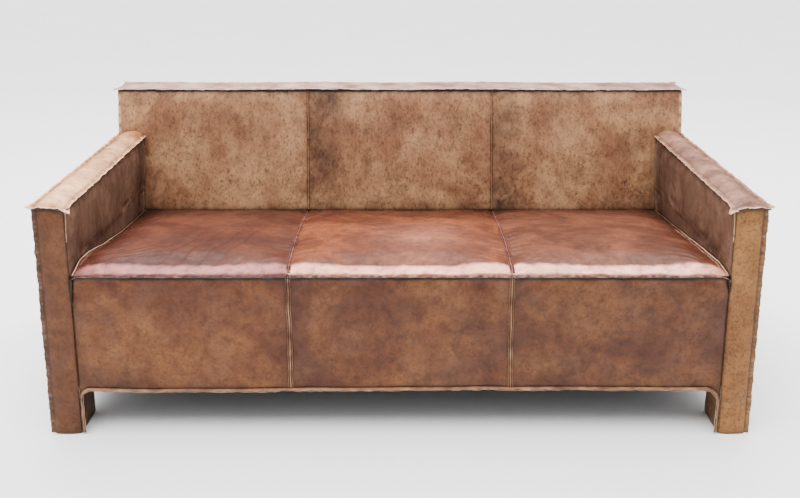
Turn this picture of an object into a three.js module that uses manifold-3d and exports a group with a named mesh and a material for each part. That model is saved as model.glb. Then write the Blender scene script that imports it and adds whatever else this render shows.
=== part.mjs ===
// A worn leather sofa: a hardwood frame on four legs, zigzag springs, foam, and a leather
// cover of cut panels whose seams are sewn with the raw edges outside.
// Millimetres, +Z up, X across the sofa, the front faces -Y, the floor is Z = 0.
import * as THREE from 'three';
import { mergeVertices } from 'three/addons/utils/BufferGeometryUtils.js';
import Module from 'manifold-3d';

const wasm = await Module();
wasm.setup();

// Driving dimensions
const WIDTH = 2000; // over the seam flanges of the arm fronts
const DEPTH = 956;
const ARM_TOP = 685; // along the arm's top seams, the pad rises above them
const BACK_TOP = 846;
const UNDERSIDE = 145;
const ARM_WIDTH = 79; // leather to leather, without the flange
const FLANGE = 10;
const SEAT_FRONT = 486; // height of the seam between seat and apron
const SEAT_REAR = 419; // height of the crease between seat and back
const SEAT_RISE = 15; // crown of the seat above its front seam
const CREASE_SETBACK = 777; // from the front plane to the crease
const BACK_THICKNESS = 106; // along the top
const SEAM_X = 310; // where the panels of seat and apron meet
const BACK_SEAM_X = 326; // where the panels of the back meet
const FILLET = 40; // round of the apron's hem into the leg
const PAD_RISE = 13; // crown of the arm's top
const LEATHER = 2;
const HEM = 4; // height of the leather's lower edge on the legs
const GLIDE_RADIUS = 15;
const GLIDE = 5; // height of a glide
const GAP = 0.3; // between pieces that touch

// Filling
const APRON_PAD = 12;
const BACK_FOAM = 60;
const BACK_FOAM_BOTTOM = 362;
const HESSIAN = 1.5;
const CLOTH_GAP = 3; // between the springs and the hessian
const PAD_EASE = 1; // between a pad and the leather it fills

// Frame
const POST = 45; // thickness of the posts
const RAIL = 30; // thickness of the rails
const POST_INSET = 17; // from the arm's inner face to the posts
const FRONT_POST_DEPTH = 100;
const REAR_POST_DEPTH = 80;
const POST_TAPER = [250, 290]; // heights between which the rear post widens
const FRAME_SETBACK = 6; // from the outside back's leather to the frame
const FRONT_SLEEVE_DEPTH = 128;
const REAR_SLEEVE_DEPTH = 118;
const FRAME_BOTTOM = UNDERSIDE + 5;
const FRONT_RAIL_TOP = 400;
const END_RAIL_HEIGHT = 95;
const REAR_RAIL_Y = 366;
const REAR_RAIL = [262, 341]; // bottom and top
const CENTRE_RAIL = [262, 330];
const LOWER_RAIL = [380, 420];
const TOP_RAIL = [770, 812];
const ARM_RAIL_BOTTOM = 620;
const RAIL_WIDTH = 40; // of the centre rail and the back's uprights
const BLOCK = [70, 180, 240]; // leg, bottom and top of a corner block

// Springs
const WIRE = 3.5;
const SPRING_SWING = 24;
const SPRING_FRONT = [-450, 405.5]; // Y and Z of the seat springs' front ends
const SPRING_REAR = [372, 346.5];
const BACK_SPRING = 74; // from the back's face to its springs
const SEAT_SPRINGS = { count: 8, pitch: 230, waves: 14, ties: [0.35, 0.65] };
const BACK_SPRINGS = { count: 7, pitch: 240, waves: 7, ties: [0.5] };

// Derived places
const FRONT = -DEPTH / 2;
const REAR = DEPTH / 2;
const SKIN = LEATHER + GAP;
const ARM_OUT = WIDTH / 2 - FLANGE;
const ARM_IN = ARM_OUT - ARM_WIDTH;
const CREASE_Y = FRONT + CREASE_SETBACK;
const RECLINE = (REAR - BACK_THICKNESS - CREASE_Y) / (BACK_TOP - SEAT_REAR);
const backFace = (z) => CREASE_Y + (z - SEAT_REAR) * RECLINE;
const POST_IN = ARM_IN + POST_INSET;
const POST_OUT = POST_IN + POST;
const POST_BOTTOM = GLIDE + GAP;
const RAIL_FRONT = FRONT + SKIN + APRON_PAD + GAP;
const FRAME_REAR = REAR - SKIN - FRAME_SETBACK;
const REAR_LEG_FRONT = FRAME_REAR - REAR_POST_DEPTH;
const LEG_REAR_OF_FRONT = FRONT + FRONT_SLEEVE_DEPTH;
const LEG_FRONT_OF_REAR = REAR - REAR_SLEEVE_DEPTH;
const BACK_HESSIAN = SKIN + BACK_FOAM + GAP; // from the back's face
const POST_SETBACK = BACK_HESSIAN + HESSIAN + 1;
const SPRING_SLOPE = (SPRING_REAR[1] - SPRING_FRONT[1]) / (SPRING_REAR[0] - SPRING_FRONT[0]);
const springZ = (y) => SPRING_FRONT[1] + (y - SPRING_FRONT[0]) * SPRING_SLOPE;

const sofa = new THREE.Group();

// Finishes
const finish = (color, roughness, metalness = 0) => () =>
  new THREE.MeshStandardMaterial({ color, roughness, metalness });
const hide = finish('#6e4a38', 0.45);
const hardwood = finish('#b08a5c', 0.8);
const foam = finish('#e8dcae', 0.95);
const jute = finish('#a98f65', 0.95);
const steelWire = finish('#8d9094', 0.35, 1);
const cambric = finish('#26262a', 0.95);
const nylon = finish('#1d1d1f', 0.6);

// Shapes
function add(name, material, geometry) {
  const mesh = new THREE.Mesh(geometry, material());
  mesh.name = name;
  sofa.add(mesh);
}

function box([x0, y0, z0], [x1, y1, z1]) {
  const geometry = new THREE.BoxGeometry(x1 - x0, y1 - y0, z1 - z0);
  return geometry.translate((x0 + x1) / 2, (y0 + y1) / 2, (z0 + z1) / 2);
}

// An outline laid in two of the axes and carried along the third
function prism(outline, depth, axes, start) {
  const shape = new THREE.Shape(outline.map(([u, v]) => new THREE.Vector2(u, v)));
  const geometry = new THREE.ExtrudeGeometry(shape, { depth, bevelEnabled: false, curveSegments: 6 });
  geometry.applyMatrix4(new THREE.Matrix4().makeBasis(...axes));
  return geometry.translate(...start);
}

const X = new THREE.Vector3(1, 0, 0);
const Y = new THREE.Vector3(0, 1, 0);
const Z = new THREE.Vector3(0, 0, 1);
const across = (outlineYZ, x0, x1) => prism(outlineYZ, x1 - x0, [Y, Z, X], [x0, 0, 0]);
const along = (outlineZX, y0, y1) => prism(outlineZX, y1 - y0, [Z, X, Y], [0, y0, 0]);
const upright = (outlineXY, z0, z1) => prism(outlineXY, z1 - z0, [X, Y, Z], [0, 0, z0]);

// Leans a shape back by the back's rake: an offset in Y becomes a setback from the back's face
function leaned(geometry) {
  const lean = new THREE.Matrix4().set(
    1, 0, 0, 0,
    0, 1, RECLINE, backFace(0),
    0, 0, 1, 0,
    0, 0, 0, 1,
  );
  return geometry.applyMatrix4(lean);
}

// The outline of a sheet whose upper face follows the given points
function sheetOutline(points, thickness) {
  const under = points.map(([u, v], i) => {
    const [u0, v0] = points[Math.max(i - 1, 0)];
    const [u1, v1] = points[Math.min(i + 1, points.length - 1)];
    const length = Math.hypot(u1 - u0, v1 - v0);
    return [u + ((v1 - v0) / length) * thickness, v - ((u1 - u0) / length) * thickness];
  });
  return [...points, ...under.reverse()];
}

const mirrorOutline = (outline, side) => (side > 0 ? outline : outline.map(([u, v]) => [-u, v]).reverse());
const spanX = (side, a, b) => (side > 0 ? [a, b] : [-b, -a]);

// A block given by its distances from the middle of the sofa, on either side
function sideBox(side, [xa, y0, z0], [xb, y1, z1]) {
  const [x0, x1] = spanX(side, xa, xb);
  return box([x0, y0, z0], [x1, y1, z1]);
}

const SIDES = [['left', -1], ['right', 1]];
const PANELS = [
  ['left', -ARM_IN, -SEAM_X],
  ['centre', -SEAM_X, SEAM_X],
  ['right', SEAM_X, ARM_IN],
];

// Seat: three panels that share one side view, from the front seam over the foam to the crease
const seatLine = new THREE.CatmullRomCurve3(
  [
    [FRONT, SEAT_FRONT],
    [FRONT + 3, SEAT_FRONT + SEAT_RISE / 2],
    [FRONT + 22, SEAT_FRONT + SEAT_RISE - 2],
    [FRONT + 60, SEAT_FRONT + SEAT_RISE],
    [CREASE_Y - 500, SEAT_FRONT + SEAT_RISE / 2 - 1],
    [CREASE_Y - 200, SEAT_REAR + 31],
    [CREASE_Y - 3, SEAT_REAR + 1],
  ].map(([y, z]) => new THREE.Vector3(0, y, z)),
  false,
  'centripetal',
)
  .getPoints(14)
  .map((point) => [point.y, point.z]);

function seatCover() {
  for (const [place, x0, x1] of PANELS) {
    const outline = sheetOutline(seatLine, LEATHER).reverse();
    add(`seat_panel_${place}`, hide, across(outline, x0 + GAP / 2, x1 - GAP / 2));
  }
}

// Apron: three panels down the front, whose hem turns into the legs with a round
function apronCover() {
  const hemRound = (x) =>
    Array.from({ length: 5 }, (_, i) => {
      const turn = (i / 4) * (Math.PI / 2);
      return [x - FILLET + FILLET * Math.sin(turn), UNDERSIDE - FILLET + FILLET * Math.cos(turn)];
    });
  const end = ARM_IN - GAP;
  const top = SEAT_FRONT - SKIN;
  const sidePanel = [
    [UNDERSIDE, SEAM_X + GAP / 2],
    ...hemRound(end - FLANGE).map(([x, z]) => [z, x]),
    [UNDERSIDE - FILLET, end],
    [top, end],
    [top, SEAM_X + GAP / 2],
  ];
  const middle = [
    [UNDERSIDE, GAP / 2 - SEAM_X],
    [UNDERSIDE, SEAM_X - GAP / 2],
    [top, SEAM_X - GAP / 2],
    [top, GAP / 2 - SEAM_X],
  ];
  const mirrored = sidePanel.map(([z, x]) => [z, -x]);
  add('apron_panel_left', hide, along(mirrored, FRONT, FRONT + LEATHER));
  add('apron_panel_centre', hide, along(middle, FRONT, FRONT + LEATHER));
  add('apron_panel_right', hide, along(sidePanel, FRONT, FRONT + LEATHER));
  const padHalf = ARM_IN - PAD_EASE;
  const padTop = SEAT_FRONT - APRON_PAD - SKIN;
  const padding = box([-padHalf, FRONT + SKIN, FRAME_BOTTOM], [padHalf, FRONT + SKIN + APRON_PAD, padTop]);
  add('apron_padding', foam, padding);
}

// Arms: front, inner, outer and top panels over a foam pad on a post-and-rail frame
function armPanels(name, side) {
  const panel = (piece, a, b) => add(`arm_${piece}_panel_${name}`, hide, sideBox(side, a, b));
  panel('front', [ARM_IN, FRONT, HEM], [WIDTH / 2, FRONT + LEATHER, ARM_TOP - SKIN]);
  panel('outer', [ARM_OUT - LEATHER, FRONT + SKIN, UNDERSIDE], [ARM_OUT, REAR - SKIN, ARM_TOP - SKIN]);
  const inner = armSide(FRONT_RAIL_TOP + CLOTH_GAP, ARM_TOP - SKIN, 0);
  add(`arm_inner_panel_${name}`, hide, across(inner, ...spanX(side, ARM_IN, ARM_IN + LEATHER)));
  const top = sheetOutline(armCrown(), LEATHER).map(([x, z]) => [z, x * side]);
  add(`arm_top_panel_${name}`, hide, along(top, FRONT, backFace(ARM_TOP - LEATHER) - GAP));
}

// The side view of an arm, raked at the rear to meet the back
function armSide(z0, z1, ease) {
  return [
    [FRONT + SKIN + ease, z0],
    [backFace(z0) - GAP - ease, z0],
    [backFace(z1) - GAP - ease, z1],
    [FRONT + SKIN + ease, z1],
  ];
}

function armCrown() {
  const middle = (ARM_IN + ARM_OUT) / 2;
  return Array.from({ length: 7 }, (_, i) => {
    const u = i / 3 - 1;
    return [middle + (u * ARM_WIDTH) / 2, ARM_TOP + PAD_RISE * (1 - u * u)];
  });
}

function armFilling(name, side) {
  const railTop = ARM_RAIL_BOTTOM + RAIL;
  const pad = [
    [ARM_IN + SKIN + PAD_EASE, railTop + GAP],
    [ARM_OUT - SKIN - PAD_EASE, railTop + GAP],
    ...armCrown()
      .slice(1, -1)
      .map(([x, z]) => [x, z - SKIN - PAD_EASE])
      .reverse(),
  ].map(([x, z]) => [z, x * side]);
  const padEnd = backFace(railTop) - GAP - PAD_EASE;
  add(`arm_top_foam_${name}`, foam, along(pad, FRONT + SKIN + PAD_EASE, padEnd));
  const padSide = armSide(FRONT_RAIL_TOP + 2 * CLOTH_GAP, railTop, PAD_EASE);
  add(`arm_inner_foam_${name}`, foam, across(padSide, ...spanX(side, ARM_IN + SKIN, POST_IN - GAP)));
  const railEnd = backFace(ARM_RAIL_BOTTOM) + POST_SETBACK - GAP;
  const rail = sideBox(side, [POST_IN, RAIL_FRONT, ARM_RAIL_BOTTOM], [POST_OUT, railEnd, railTop]);
  add(`arm_rail_${name}`, hardwood, rail);
}

// Back: three raked front panels, a boxing strip along the top, two ends and the outside back
function backCover() {
  const bottom = BACK_FOAM_BOTTOM - 2;
  const top = BACK_TOP - SKIN;
  const sidePanel = [
    [bottom, BACK_SEAM_X + GAP / 2],
    [bottom, ARM_IN - GAP],
    [ARM_TOP, ARM_IN - GAP],
    [ARM_TOP + PAD_RISE, ARM_IN + PAD_RISE],
    [ARM_TOP + PAD_RISE, ARM_OUT - PAD_RISE],
    [ARM_TOP, ARM_OUT],
    [top, ARM_OUT],
    [top, BACK_SEAM_X + GAP / 2],
  ];
  const middle = [
    [bottom, GAP / 2 - BACK_SEAM_X],
    [bottom, BACK_SEAM_X - GAP / 2],
    [top, BACK_SEAM_X - GAP / 2],
    [top, GAP / 2 - BACK_SEAM_X],
  ];
  add('back_panel_left', hide, leaned(along(sidePanel.map(([z, x]) => [z, -x]), 0, LEATHER)));
  add('back_panel_centre', hide, leaned(along(middle, 0, LEATHER)));
  add('back_panel_right', hide, leaned(along(sidePanel, 0, LEATHER)));
  const boxing = box([-ARM_OUT, REAR - BACK_THICKNESS, BACK_TOP - LEATHER], [ARM_OUT, REAR, BACK_TOP]);
  add('back_top_boxing', hide, boxing);
  add('outside_back_panel', hide, box([-ARM_OUT, REAR - LEATHER, UNDERSIDE], [ARM_OUT, REAR, top]));
  const low = ARM_TOP - LEATHER;
  const end = [
    [backFace(low) + SKIN, low],
    [REAR - SKIN, low],
    [REAR - SKIN, top],
    [backFace(top) + SKIN, top],
  ];
  for (const [name, side] of SIDES) {
    add(`back_end_panel_${name}`, hide, across(end, ...spanX(side, ARM_OUT - LEATHER, ARM_OUT)));
  }
}

// Legs: leather sleeves, the front ones closed by the arm's front panel
function legSleeves(name, side) {
  const inner = ARM_IN + LEATHER;
  const outer = ARM_OUT - LEATHER;
  const front = FRONT + SKIN;
  const channel = [
    [ARM_IN, front],
    [inner, front],
    [inner, LEG_REAR_OF_FRONT - LEATHER],
    [outer, LEG_REAR_OF_FRONT - LEATHER],
    [outer, front],
    [ARM_OUT, front],
    [ARM_OUT, LEG_REAR_OF_FRONT],
    [ARM_IN, LEG_REAR_OF_FRONT],
  ];
  add(`front_leg_sleeve_${name}`, hide, upright(mirrorOutline(channel, side), HEM, UNDERSIDE - GAP));

  const ring = (grow, kind) => {
    const [x0, x1] = spanX(side, inner - grow, outer + grow);
    const [y0, y1] = [LEG_FRONT_OF_REAR + LEATHER - grow, REAR - LEATHER + grow];
    const corners = [[x0, y0], [x1, y0], [x1, y1], [x0, y1]];
    return new kind(corners.map(([x, y]) => new THREE.Vector2(x, y)));
  };
  const tube = ring(LEATHER, THREE.Shape);
  tube.holes.push(ring(0, THREE.Path));
  const depth = UNDERSIDE - GAP - HEM;
  const geometry = new THREE.ExtrudeGeometry(tube, { depth, bevelEnabled: false }).translate(0, 0, HEM);
  add(`rear_leg_sleeve_${name}`, hide, geometry);
}

// Frame: posts that run down as the legs, rails between them, blocks in the corners
function framePosts(name, side) {
  const frontPostRear = RAIL_FRONT + FRONT_POST_DEPTH;
  const front = sideBox(
    side,
    [POST_IN, RAIL_FRONT, POST_BOTTOM],
    [POST_OUT, frontPostRear, ARM_RAIL_BOTTOM - GAP],
  );
  add(`front_post_${name}`, hardwood, front);
  const raked = [
    [REAR_LEG_FRONT, POST_BOTTOM],
    [FRAME_REAR, POST_BOTTOM],
    [FRAME_REAR, TOP_RAIL[1]],
    [backFace(TOP_RAIL[1]) + POST_SETBACK, TOP_RAIL[1]],
    [backFace(LOWER_RAIL[1]) + POST_SETBACK, LOWER_RAIL[1]],
    [backFace(LOWER_RAIL[1]) + POST_SETBACK, POST_TAPER[1]],
    [REAR_LEG_FRONT, POST_TAPER[0]],
  ];
  add(`back_post_${name}`, hardwood, across(raked, ...spanX(side, POST_IN, POST_OUT)));
  const endRail = sideBox(
    side,
    [POST_IN, frontPostRear + GAP, FRAME_BOTTOM],
    [POST_OUT, REAR_LEG_FRONT - GAP, FRAME_BOTTOM + END_RAIL_HEIGHT],
  );
  add(`seat_end_rail_${name}`, hardwood, endRail);
  const raisedPost = [
    [REAR_RAIL_Y + RAIL + GAP, REAR_RAIL[0]],
    [REAR_RAIL_Y + 2 * RAIL, REAR_RAIL[0]],
    [FRAME_REAR, TOP_RAIL[0] - GAP],
    [FRAME_REAR - RAIL, TOP_RAIL[0] - GAP],
  ];
  const span = spanX(side, BACK_SEAM_X - RAIL_WIDTH / 2, BACK_SEAM_X + RAIL_WIDTH / 2);
  add(`back_upright_${name}`, hardwood, across(raisedPost, ...span));
}

function glides(name, side) {
  const x = ((POST_IN + POST_OUT) / 2) * side;
  const places = {
    front: RAIL_FRONT + FRONT_POST_DEPTH / 2,
    rear: REAR_LEG_FRONT + REAR_POST_DEPTH / 2,
  };
  for (const [end, y] of Object.entries(places)) {
    const disc = new THREE.CylinderGeometry(GLIDE_RADIUS, GLIDE_RADIUS, GLIDE, 24).rotateX(Math.PI / 2);
    add(`${end}_glide_${name}`, nylon, disc.translate(x, y, GLIDE / 2));
  }
}

function frameRails() {
  const end = POST_IN - GAP;
  const rail = (name, y0, y1, [z0, z1]) => add(name, hardwood, box([-end, y0, z0], [end, y1, z1]));
  rail('seat_front_rail', RAIL_FRONT, RAIL_FRONT + RAIL, [FRAME_BOTTOM, FRONT_RAIL_TOP]);
  rail('seat_rear_rail', REAR_RAIL_Y, REAR_RAIL_Y + RAIL, REAR_RAIL);
  rail('back_lower_rail', REAR_RAIL_Y, REAR_RAIL_Y + RAIL - GAP, LOWER_RAIL);
  rail('back_top_rail', backFace(TOP_RAIL[1]) + POST_SETBACK, FRAME_REAR, TOP_RAIL);
  const inner = RAIL_FRONT + RAIL + GAP;
  const half = RAIL_WIDTH / 2;
  const centre = box([-half, inner, CENTRE_RAIL[0]], [half, REAR_RAIL_Y - GAP, CENTRE_RAIL[1]]);
  add('seat_centre_rail', hardwood, centre);
  const [leg, z0, z1] = BLOCK;
  const corner = [
    [end - GAP, inner],
    [end - GAP, inner + leg],
    [end - GAP - leg, inner],
  ];
  for (const [name, side] of SIDES) {
    add(`corner_block_${name}`, hardwood, upright(mirrorOutline(corner, side), z0, z1));
  }
}

// Springs: zigzag wires from rail to rail, linked by straight tie wires into one deck
class Zigzag extends THREE.Curve {
  constructor(from, to, waves) {
    super();
    this.from = from;
    this.to = to;
    this.waves = waves;
  }

  getPoint(t) {
    const swing = SPRING_SWING * Math.sin(t * this.waves * Math.PI);
    return this.from.clone().lerp(this.to, t).add(new THREE.Vector3(swing, 0, 0));
  }
}

function solidFrom(geometry) {
  geometry.deleteAttribute('normal');
  geometry.deleteAttribute('uv');
  const merged = mergeVertices(geometry, 1e-4);
  const mesh = new wasm.Mesh({
    numProp: 3,
    vertProperties: new Float32Array(merged.attributes.position.array),
    triVerts: new Uint32Array(merged.index.array),
  });
  mesh.merge();
  return new wasm.Manifold(mesh);
}

function geometryFrom(solid) {
  const mesh = solid.getMesh();
  const geometry = new THREE.BufferGeometry();
  geometry.setAttribute('position', new THREE.BufferAttribute(mesh.vertProperties, 3));
  geometry.setIndex(new THREE.BufferAttribute(mesh.triVerts, 1));
  return geometry;
}

function wire(path, steps) {
  const section = new THREE.Shape();
  section.absarc(0, 0, WIRE / 2, 0, 2 * Math.PI);
  return solidFrom(
    new THREE.ExtrudeGeometry(section, { steps, curveSegments: 3, extrudePath: path }),
  );
}

// Zigzags side by side, and a tie wire across them at each share of their length
function springDeck({ count, pitch, waves, ties }, from, to) {
  const at = (x, [y, z]) => new THREE.Vector3(x, y, z);
  const places = Array.from({ length: count }, (_, i) => (i - (count - 1) / 2) * pitch);
  const zigzags = places.map((x) => wire(new Zigzag(at(x, from), at(x, to), waves), waves * 3));
  const reach = places[count - 1] + SPRING_SWING;
  const tieWires = ties.map((share) => {
    const start = at(-reach, from).lerp(at(-reach, to), share);
    const stop = at(reach, from).lerp(at(reach, to), share);
    return wire(new THREE.LineCurve3(start, stop), 1);
  });
  return geometryFrom([...zigzags, ...tieWires].reduce((deck, piece) => deck.add(piece)));
}

function springs() {
  const atHeight = (z) => [backFace(z) + BACK_SPRING, z];
  add('seat_springs', steelWire, springDeck(SEAT_SPRINGS, SPRING_FRONT, SPRING_REAR));
  const back = springDeck(BACK_SPRINGS, atHeight(LOWER_RAIL[1] + WIRE), atHeight(TOP_RAIL[0] - WIRE));
  add('back_springs', steelWire, back);
}

// Filling: foam on hessian in seat and back, padding along the top of the back
function filling() {
  const end = ARM_IN - 2 * GAP;
  const foamFront = RAIL_FRONT;
  const foamRear = backFace(BACK_FOAM_BOTTOM) - 2 * CLOTH_GAP;
  const overSprings = (y, lift) => [y, springZ(y) + CLOTH_GAP + lift];
  const crest = sheetOutline(seatLine, SKIN + GAP)
    .slice(seatLine.length)
    .filter(([y]) => y > foamFront + SKIN && y < CREASE_Y - 2 * CLOTH_GAP);
  const line = [
    ...crest,
    [foamFront, SEAT_FRONT - SKIN],
    overSprings(foamFront, HESSIAN + GAP),
    overSprings(foamRear, HESSIAN + GAP),
    [CREASE_Y - 2 * CLOTH_GAP, SEAT_REAR - 2 * CLOTH_GAP],
  ];
  add('seat_foam', foam, across(line, -end, end));
  const cloth = [
    overSprings(SPRING_FRONT[0], 0),
    overSprings(foamRear, 0),
    overSprings(foamRear, HESSIAN),
    overSprings(SPRING_FRONT[0], HESSIAN),
  ];
  add('seat_hessian', jute, across(cloth, -end, end));

  const wide = ARM_OUT - SKIN;
  const shoulder = ARM_TOP + PAD_RISE + SKIN;
  const top = BACK_TOP - SKIN;
  const slab = [
    [BACK_FOAM_BOTTOM, -end],
    [BACK_FOAM_BOTTOM, end],
    [shoulder, end],
    [shoulder, wide],
    [top, wide],
    [top, -wide],
    [shoulder, -wide],
    [shoulder, -end],
  ];
  add('back_foam', foam, leaned(along(slab, SKIN, SKIN + BACK_FOAM)));
  const backing = [
    [LOWER_RAIL[0] + RAIL / 2, -end],
    [LOWER_RAIL[0] + RAIL / 2, end],
    [TOP_RAIL[1], end],
    [TOP_RAIL[1], -end],
  ];
  add('back_hessian', jute, leaned(along(backing, BACK_HESSIAN, BACK_HESSIAN + HESSIAN)));
  const topPad = box([-wide, backFace(top) + BACK_HESSIAN, TOP_RAIL[1] + GAP], [wide, REAR - SKIN, top]);
  add('back_top_padding', foam, topPad);
}

// Underside: a black dust cover, notched round the legs
function dustCover() {
  const wide = ARM_OUT - SKIN;
  const narrow = ARM_IN - GAP;
  const [y0, y1] = [LEG_REAR_OF_FRONT + GAP, LEG_FRONT_OF_REAR - GAP];
  const [front, rear] = [FRONT + SKIN, REAR - SKIN];
  const half = [
    [narrow, front],
    [narrow, y0],
    [wide, y0],
    [wide, y1],
    [narrow, y1],
    [narrow, rear],
  ];
  const outline = [...half, ...half.map(([x, y]) => [-x, y]).reverse()];
  add('dust_cover', cambric, upright(outline, UNDERSIDE + PAD_EASE, UNDERSIDE + PAD_EASE + HESSIAN));
}

seatCover();
apronCover();
backCover();
for (const [name, side] of SIDES) {
  armPanels(name, side);
  armFilling(name, side);
  legSleeves(name, side);
  framePosts(name, side);
  glides(name, side);
}
frameRails();
springs();
filling();
dustCover();

export default sofa;
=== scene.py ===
import math

import bmesh
import bpy
import numpy as np
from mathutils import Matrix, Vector, noise


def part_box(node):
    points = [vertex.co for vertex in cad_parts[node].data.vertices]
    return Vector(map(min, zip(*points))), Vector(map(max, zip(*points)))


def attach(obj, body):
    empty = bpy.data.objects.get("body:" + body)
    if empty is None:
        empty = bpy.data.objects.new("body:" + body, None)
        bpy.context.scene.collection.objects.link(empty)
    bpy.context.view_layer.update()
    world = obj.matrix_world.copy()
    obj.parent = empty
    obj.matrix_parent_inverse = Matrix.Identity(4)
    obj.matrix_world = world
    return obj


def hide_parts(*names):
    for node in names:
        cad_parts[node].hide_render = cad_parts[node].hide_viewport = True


# A worn leather sofa: a beech frame with zigzag springs and foam, covered in cut panels of waxed
# brown hide whose seams are sewn with their raw edges outside. Metres, the front faces -Y.
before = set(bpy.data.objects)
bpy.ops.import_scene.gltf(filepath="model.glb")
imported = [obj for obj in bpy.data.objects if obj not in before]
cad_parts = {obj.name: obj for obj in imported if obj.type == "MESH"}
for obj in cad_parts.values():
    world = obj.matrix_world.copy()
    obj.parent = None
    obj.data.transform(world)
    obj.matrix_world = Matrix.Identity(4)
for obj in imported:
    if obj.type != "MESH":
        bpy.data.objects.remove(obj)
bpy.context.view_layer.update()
scene = bpy.context.scene


# Frame: sawn beech rails and posts, glued and screwed, hidden under the upholstery. The posts run
# down as the legs. The wood is left bare, with straight open grain along each piece.
def linear(hex_colour):
    """A colour written as sRGB hex, as the linear values that nodes take."""
    channels = [int(hex_colour[i : i + 2], 16) / 255 for i in (1, 3, 5)]
    return [c / 12.92 if c <= 0.04045 else ((c + 0.055) / 1.055) ** 2.4 for c in channels] + [1.0]


def add_node(tree, kind, inputs=None, **settings):
    """A shader node with its settings, and its inputs set or linked."""
    node = tree.nodes.new("ShaderNode" + kind)
    for setting, value in settings.items():
        setattr(node, setting, value)
    for socket, value in (inputs or {}).items():
        if isinstance(value, bpy.types.NodeSocket):
            tree.links.new(value, node.inputs[socket])
        else:
            node.inputs[socket].default_value = value
    return node


def new_material(name):
    material = bpy.data.materials.new(name)
    material.use_nodes = True
    material.node_tree.nodes.clear()
    return material, material.node_tree


def give_surface(tree, inputs):
    """Ends a material with its one Principled surface."""
    surface = add_node(tree, "BsdfPrincipled", inputs)
    add_node(tree, "OutputMaterial", {"Surface": surface.outputs["BSDF"]})


def two_toned(
    name, tones, scale, detail, roughness, relief=None, spread=None, grain=None, metallic=0.0
):
    """A finish that wanders between two tones. Relief is how strongly and how many metres deep the
    same pattern stands out, spread the part of it that turns to the second tone, and grain the size
    in metres of a mark in each direction."""
    material, tree = new_material(name)
    place = add_node(tree, "TexCoord").outputs["Object"]
    if grain:
        fine = {"Vector": place, "Scale": [1 / size for size in grain]}
        place = add_node(tree, "Mapping", fine).outputs[0]
    marks = {"Vector": place, "Scale": scale, "Detail": detail}
    share = mark = add_node(tree, "TexNoise", marks).outputs["Fac"]
    if spread:
        share = add_node(tree, "MapRange", {0: mark, 1: spread[0], 2: spread[1]}).outputs[0]
    tones = {0: share, 6: linear(tones[0]), 7: linear(tones[1])}
    inputs = {"Base Color": add_node(tree, "Mix", tones, data_type="RGBA").outputs[2]}
    if relief:
        bump = {"Height": mark, "Strength": relief[0], "Distance": relief[1]}
        inputs["Normal"] = add_node(tree, "Bump", bump).outputs[0]
    give_surface(tree, inputs | {"Roughness": roughness, "Metallic": metallic})
    return material


def dress(material, *names):
    """Gives a finish to pieces that keep the shape they were built in."""
    for name in names:
        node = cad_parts[name]
        node.data.materials.clear()
        node.data.materials.append(material)


SIDES = {"left": -1, "right": 1}
PANELS = ("left", "centre", "right")

# Beech off the saw is pale and matt, with fibres that run along each piece.
FIBRE, LONG_FIBRE = 0.006, 0.25
beech = {
    lie: two_toned(
        f"sawn_beech_{lie}", ("#9a7346", "#d3ab78"), 1.0, 5.0, 0.78, relief=(0.35, 0.001),
        grain=[LONG_FIBRE if number == axis else FIBRE for number in range(3)],
    )
    for axis, lie in enumerate(("across", "fore_and_aft", "upright"))
}
dress(beech["across"], "seat_front_rail", "seat_rear_rail", "back_lower_rail", "back_top_rail")
dress(beech["fore_and_aft"], "seat_centre_rail")
for side in SIDES:
    dress(beech["fore_and_aft"], f"seat_end_rail_{side}", f"arm_rail_{side}")
    dress(beech["upright"], f"front_post_{side}", f"back_post_{side}")
    dress(beech["upright"], f"back_upright_{side}", f"corner_block_{side}")


# Springs: zigzag steel wire tied across with lighter wire, nailed to the rails of seat and back.
# The wire is drawn and bright, dulled by a little rust.
spring_wire = two_toned(
    "drawn_steel_wire", ("#a9abab", "#7b5a45"), 60.0, 4.0, 0.36, spread=(0.55, 0.75), metallic=1.0
)
dress(spring_wire, "seat_springs", "back_springs")


# Glides: black nylon discs under the four legs, moulded and scuffed matt by the floor.
glide_nylon = two_toned(
    "moulded_black_nylon", ("#141416", "#2b2b2d"), 700.0, 2.0, 0.6, relief=(0.3, 0.0002)
)
for side in SIDES:
    dress(glide_nylon, f"front_glide_{side}", f"rear_glide_{side}")


# Hessian: a jute cloth stapled over the springs of seat and back, which keeps the foam off the
# wire. It is stretched by hand and sinks a little between the springs.
def waver(spot, size, seed=0.0):
    """Smooth noise of about -1 to 1, whose swings are size metres long."""
    return 1.4 * noise.noise(Vector(spot) / size + Vector((seed, seed * 1.7, seed * 0.6)))


def near(distance, reach):
    """1 at no distance, falling softly to 0 at reach."""
    return max(0.0, 1.0 - abs(distance) / reach) ** 2


def lay_grid(across, along, place, facing=None, wear_shade_and_sheen=None):
    """A grid whose points place(u, v) sets, with u and v from 0 to 1 and its faces towards facing.
    The wear function gives three shares at u, v and spot: soot with painted shade, rubbing with painted
    highlight, and painted shade in seams, creases and under edges."""
    mesh = bmesh.new()
    bmesh.ops.create_grid(mesh, x_segments=across, y_segments=along, size=0.5)
    marks = mesh.verts.layers.float_color.new("wear_shade_and_sheen")
    for vert in mesh.verts:
        u, v = vert.co.x + 0.5, vert.co.y + 0.5
        vert.co = place(u, v)
        vert[marks] = (*(wear_shade_and_sheen(u, v, vert.co) if wear_shade_and_sheen else (0.0, 0.0, 0.0)), 1.0)
    mesh.normal_update()
    if facing:
        lean = sum((face.normal * face.calc_area() for face in mesh.faces), Vector())
        if lean.dot(Vector(facing)) < 0:
            bmesh.ops.reverse_faces(mesh, faces=mesh.faces)
    return mesh


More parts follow.
